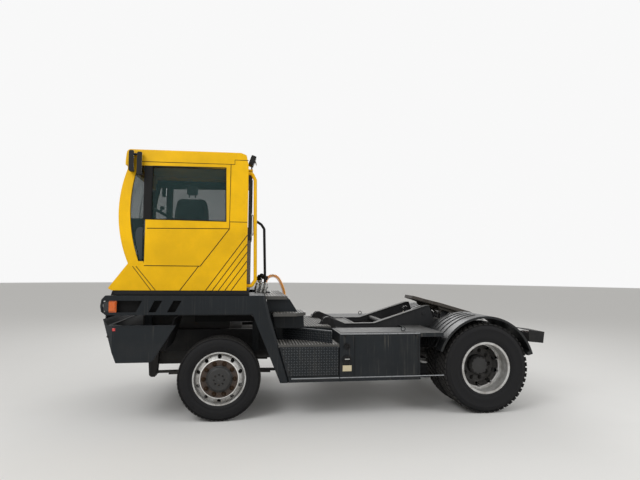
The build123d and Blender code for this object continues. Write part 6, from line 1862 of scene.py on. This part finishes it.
# Each place: x, y, z, turn about the height
SILVER_COUPLINGS = [(-0.925, -0.215, 1.470, 200.0), (-0.930, -0.155, 1.500, 170.0)]
BLACK_COUPLINGS = [(-0.905, -0.190, 1.555, 185.0), (-0.860, -0.235, 1.525, 160.0), (-0.940, -0.180, 1.520, 210.0)]
PLUG_PLACE = (-0.885, -0.255, 1.440, 230.0)
SOCKET_PLACES = [(-0.985, -0.400), (-0.930, -0.400), (-0.880, -0.395)]
SOCKET_SIZE = 1.55
LINE_ROUTES = [
    # each line's start, its points and its end
    [(-0.925, -0.215, 1.445), (-0.920, -0.235, 1.405), (-0.900, -0.240, 1.370), (-0.890, -0.240, 1.350)],
    [(-0.930, -0.155, 1.470), (-0.935, -0.165, 1.420), (-0.930, -0.170, 1.385), (-0.925, -0.170, 1.350)],
    [(-0.885, -0.255, 1.415), (-0.870, -0.270, 1.390), (-0.855, -0.270, 1.365), (-0.850, -0.270, 1.350)],
]


def turned_place(x, y, z, turn, lean):
    """A place turned about the height and leaned over."""
    return Matrix.Translation((x, y, z)) @ Matrix.Rotation(math.radians(turn), 4, "Z") @ Matrix.Rotation(
        math.radians(lean), 4, "X")


def make_couplings(finishes):
    """The parked air couplings and plug socket beside the hose stand, with their short lines."""
    def silver(form):
        for place in SILVER_COUPLINGS:
            add_coupling(form, turned_place(*place, 78))
        for x, y in SOCKET_PLACES:
            lean = Matrix.Translation((x, y, 1.350)) @ Matrix.Rotation(math.radians(12), 4, "Y") @ Matrix.Scale(
                SOCKET_SIZE, 4)
            add_turned(form, SOCKET_SHAPE, 20, lean)
    bright = mesh_from("couplings_bright", silver, finishes["bright"])
    smooth(bright)

    def dark(form):
        for place in BLACK_COUPLINGS:
            add_coupling(form, turned_place(*place, 80))
        plug = turned_place(*PLUG_PLACE, 85)
        add_turned(form, PLUG_SHAPE, 28, plug)
        add_block(form, (-0.040, -0.006, 0.040), (0.044, 0.006, 0.066), 0.002, plug)
        for route in LINE_ROUTES:
            add_tube(form, route, 0.0065, 10)
        add_block(form, (-0.955, -0.300, 1.352), (-0.840, -0.130, 1.364), 0.002)
    black = mesh_from("couplings_dark", dark, finishes["moulded"])
    smooth(black)
    mesh = joined("air_couplings", [bright, black])
    settle(mesh, "chassis")


# Lamps

WORK_LIGHT_RIM = ((0.0285, -0.057, -0.055), (0.0315, 0.057, 0.053))
WORK_LIGHT_LENS = ((0.0318, -0.051, -0.048), (0.0335, 0.051, 0.048))


def make_lamp_details(finishes):
    """The work light's rim and lens, the red reflectors and the headlamps' rims."""
    tilt = Matrix.Translation((-1.058, -1.0, 2.885)) @ Matrix.Rotation(math.radians(-20), 4, "Y")
    rim = mesh_from("work_light_rim", lambda form: add_block(form, *WORK_LIGHT_RIM, 0.0012, tilt),
                    finishes["bright"])
    lens = mesh_from("work_light_lens", lambda form: add_block(form, *WORK_LIGHT_LENS, 0.0008, tilt),
                     finishes["clear_lens"])
    light = joined("work_light_face", [rim, lens])
    settle(light, "cab")

    def reflectors(form):
        for y in (-1.2535, 1.2500):
            add_block(form, (-2.470, y, 0.985), (-2.440, y + 0.003, 1.015), 0.001)
        for y in (-0.90, 0.90):
            add_block(form, (2.4905, y - 0.05, 0.835), (2.4935, y + 0.05, 0.865), 0.001)
    red = mesh_from("red_reflectors", reflectors)
    settle(red, "chassis", finishes["red_lens"])

    def rims(form):
        low, high = node_box("headlamps")
        z = (low.z + high.z) / 2
        radius = (high.z - low.z) / 2
        inner = radius * 0.86
        for side in (-1, 1):
            place = Matrix.Translation((low.x - 0.002, side * (high.y - radius), z)) @ Matrix.Rotation(
                math.radians(-90), 4, "Y")
            add_turned(form, [(inner, 0.0), (radius, 0.0), (radius, 0.008), (inner, 0.006)], 48, place)
    ring = mesh_from("headlamp_rims", rims)
    smooth(ring)
    settle(ring, "chassis", finishes["bright"])


# Add-on

FINISHES = {}


def colour_setting(name, description, default):
    """A colour with its title and what it paints."""
    return bpy.props.FloatVectorProperty(name=name, description=description, subtype="COLOR", size=3,
                                         default=default, min=0.0, max=1.0)


class TractorSettings(bpy.types.PropertyGroup):
    """Sizes and colours of the dressing."""
    cab_colour: colour_setting("Cab colour", "Paint of the cab's panels", (0.807, 0.456, 0.0))
    sheet_colour: colour_setting("Sheet colour", "Paint of fenders, steps and boxes", (0.010, 0.0128, 0.0155))
    chassis_colour: colour_setting("Chassis colour", "Paint of the frame", (0.012, 0.012, 0.013))
    boom_colour: colour_setting("Boom colour", "Paint of the lifting boom", (0.02, 0.021, 0.023))
    floor_colour: colour_setting("Floor colour", "The studio's pale floor", (0.8, 0.8, 0.79))
    backdrop_colour: colour_setting("Backdrop colour", "What stands behind the vehicle", (0.94, 0.94, 0.94))
    sky_level: bpy.props.FloatProperty(name="Sky level", description="Strength of the soft light from all around",
                                       default=0.55, min=0.0, max=2.0)
    lamp_level: bpy.props.FloatProperty(name="Lamp level", description="Share of the lamps' full power",
                                        default=1.0, min=0.0, max=3.0)
    hose_pitch: bpy.props.FloatProperty(name="Hose pitch", description="Distance between the air hose's turns",
                                        default=0.0165, min=0.012, max=0.04, unit="LENGTH", subtype="DISTANCE")


class TRACTOR_OT_camera(bpy.types.Operator):
    """Set up the photograph's camera"""
    bl_idname = "tractor.camera"
    bl_label = "Camera"

    def execute(self, context):
        aim_camera()
        return {"FINISHED"}


class TRACTOR_OT_air_hose(bpy.types.Operator):
    """Mix the finishes and wind the curly air hose behind the cab"""
    bl_idname = "tractor.air_hose"
    bl_label = "Finishes and air hose"

    def execute(self, context):
        FINISHES.update(make_finishes(context.scene.tractor))
        make_air_hose(FINISHES, context.scene.tractor.hose_pitch)
        return {"FINISHED"}


class TRACTOR_OT_nodes(bpy.types.Operator):
    """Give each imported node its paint, rubber, glass or metal"""
    bl_idname = "tractor.nodes"
    bl_label = "Node finishes"

    def execute(self, context):
        dress_nodes(FINISHES)
        return {"FINISHED"}


class TRACTOR_OT_tyres(bpy.types.Operator):
    """Build the tyres with their tread blocks"""
    bl_idname = "tractor.tyres"
    bl_label = "Tyres"

    def execute(self, context):
        make_tyres(FINISHES)
        return {"FINISHED"}


class TRACTOR_OT_wheel_nuts(bpy.types.Operator):
    """Set the wheel nuts and hub bolts"""
    bl_idname = "tractor.wheel_nuts"
    bl_label = "Wheel nuts"

    def execute(self, context):
        make_wheel_nuts(FINISHES)
        return {"FINISHED"}


class TRACTOR_OT_cab_seams(bpy.types.Operator):
    """Draw the joints between the cab's panels and its slanting grooves"""
    bl_idname = "tractor.cab_seams"
    bl_label = "Cab seams"

    def execute(self, context):
        make_cab_seams(FINISHES)
        return {"FINISHED"}


class TRACTOR_OT_window_trim(bpy.types.Operator):
    """Fit the black posts, seals and corner mouldings of the side windows"""
    bl_idname = "tractor.window_trim"
    bl_label = "Side window trim"

    def execute(self, context):
        make_window_trim(FINISHES)
        return {"FINISHED"}


class TRACTOR_OT_wipers(bpy.types.Operator):
    """Park the two wipers on the windscreen"""
    bl_idname = "tractor.wipers"
    bl_label = "Wipers"

    def execute(self, context):
        make_wipers(FINISHES)
        return {"FINISHED"}


class TRACTOR_OT_door_parts(bpy.types.Operator):
    """Fit the sliding door's handle and seal"""
    bl_idname = "tractor.door_parts"
    bl_label = "Door fittings"

    def execute(self, context):
        make_door_parts(FINISHES)
        return {"FINISHED"}


class TRACTOR_OT_seat(bpy.types.Operator):
    """Blow up the seat's cushion, back and headrest as cloth and sew their channels"""
    bl_idname = "tractor.seat"
    bl_label = "Seat"

    def execute(self, context):
        make_seat(FINISHES)
        return {"FINISHED"}


class TRACTOR_OT_driver_controls(bpy.types.Operator):
    """Set the knob, levers and shift stick"""
    bl_idname = "tractor.driver_controls"
    bl_label = "Driver's controls"

    def execute(self, context):
        make_driver_controls(FINISHES)
        return {"FINISHED"}


class TRACTOR_OT_chequer(bpy.types.Operator):
    """Set the chequered kick panel and riser with their lugs"""
    bl_idname = "tractor.chequer"
    bl_label = "Chequered sheet"

    def execute(self, context):
        make_chequer(FINISHES)
        return {"FINISHED"}


class TRACTOR_OT_side_bolts(bpy.types.Operator):
    """Set the bolt heads along both flanks and on the kick panel"""
    bl_idname = "tractor.side_bolts"
    bl_label = "Side bolts"

    def execute(self, context):
        make_side_bolts(FINISHES)
        return {"FINISHED"}


class TRACTOR_OT_shade_sheets(bpy.types.Operator):
    """Hang dark sheets of painted shade behind the frame's slots and in the wheel arches"""
    bl_idname = "tractor.splash_sheets"
    bl_label = "Shade sheets"

    def execute(self, context):
        make_shade_sheets(FINISHES)
        return {"FINISHED"}


class TRACTOR_OT_box_details(bpy.types.Operator):
    """Fit cap rings, blank plate, joints and painted edge highlights on the side boxes"""
    bl_idname = "tractor.box_details"
    bl_label = "Box details"

    def execute(self, context):
        make_box_details(FINISHES)
        return {"FINISHED"}


class TRACTOR_OT_couplings(bpy.types.Operator):
    """Park the air couplings behind the cab"""
    bl_idname = "tractor.couplings"
    bl_label = "Couplings"

    def execute(self, context):
        make_couplings(FINISHES)
        return {"FINISHED"}


class TRACTOR_OT_lamp_details(bpy.types.Operator):
    """Fit rims, lenses and reflectors"""
    bl_idname = "tractor.lamp_details"
    bl_label = "Lamp details"

    def execute(self, context):
        make_lamp_details(FINISHES)
        return {"FINISHED"}


class TRACTOR_OT_stage(bpy.types.Operator):
    """Lay the floor and hang the studio lamps"""
    bl_idname = "tractor.stage"
    bl_label = "Stage"

    def execute(self, context):
        settings = context.scene.tractor
        lay_floor(settings.floor_colour)
        light_world(settings.sky_level, settings.backdrop_colour)
        hang_lamps(settings.lamp_level)
        context.scene.view_settings.view_transform = "Standard"
        return {"FINISHED"}


OPERATORS = [TRACTOR_OT_camera, TRACTOR_OT_air_hose, TRACTOR_OT_nodes, TRACTOR_OT_tyres,
             TRACTOR_OT_wheel_nuts, TRACTOR_OT_cab_seams, TRACTOR_OT_window_trim, TRACTOR_OT_wipers,
             TRACTOR_OT_door_parts, TRACTOR_OT_seat, TRACTOR_OT_driver_controls, TRACTOR_OT_chequer,
             TRACTOR_OT_side_bolts, TRACTOR_OT_shade_sheets, TRACTOR_OT_box_details,
             TRACTOR_OT_couplings, TRACTOR_OT_lamp_details, TRACTOR_OT_stage]


class TRACTOR_PT_dressing(bpy.types.Panel):
    """The dressing's operators in the sidebar"""
    bl_idname = "TRACTOR_PT_dressing"
    bl_label = "Tractor dressing"
    bl_space_type = "VIEW_3D"
    bl_region_type = "UI"
    bl_category = "Tractor"

    def draw(self, context):
        settings = context.scene.tractor
        for name in settings.bl_rna.properties.keys():
            if name not in ("name", "rna_type"):
                self.layout.prop(settings, name)
        for operator in OPERATORS:
            self.layout.operator(operator.bl_idname)


CLASSES = [TractorSettings] + OPERATORS + [TRACTOR_PT_dressing]


def register():
    for made in CLASSES:
        bpy.utils.register_class(made)
    bpy.types.Scene.tractor = bpy.props.PointerProperty(type=TractorSettings)


def unregister():
    del bpy.types.Scene.tractor
    for made in reversed(CLASSES):
        bpy.utils.unregister_class(made)


def corners(box):
    """A box's two corners as plain lists."""
    return [list(box[0]), list(box[1])]


def main():
    """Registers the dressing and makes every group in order."""
    register()
    for operator in OPERATORS:
        group, name = operator.bl_idname.split(".")
        getattr(getattr(bpy.ops, group), name)()


if __name__ == "__main__":
    main()
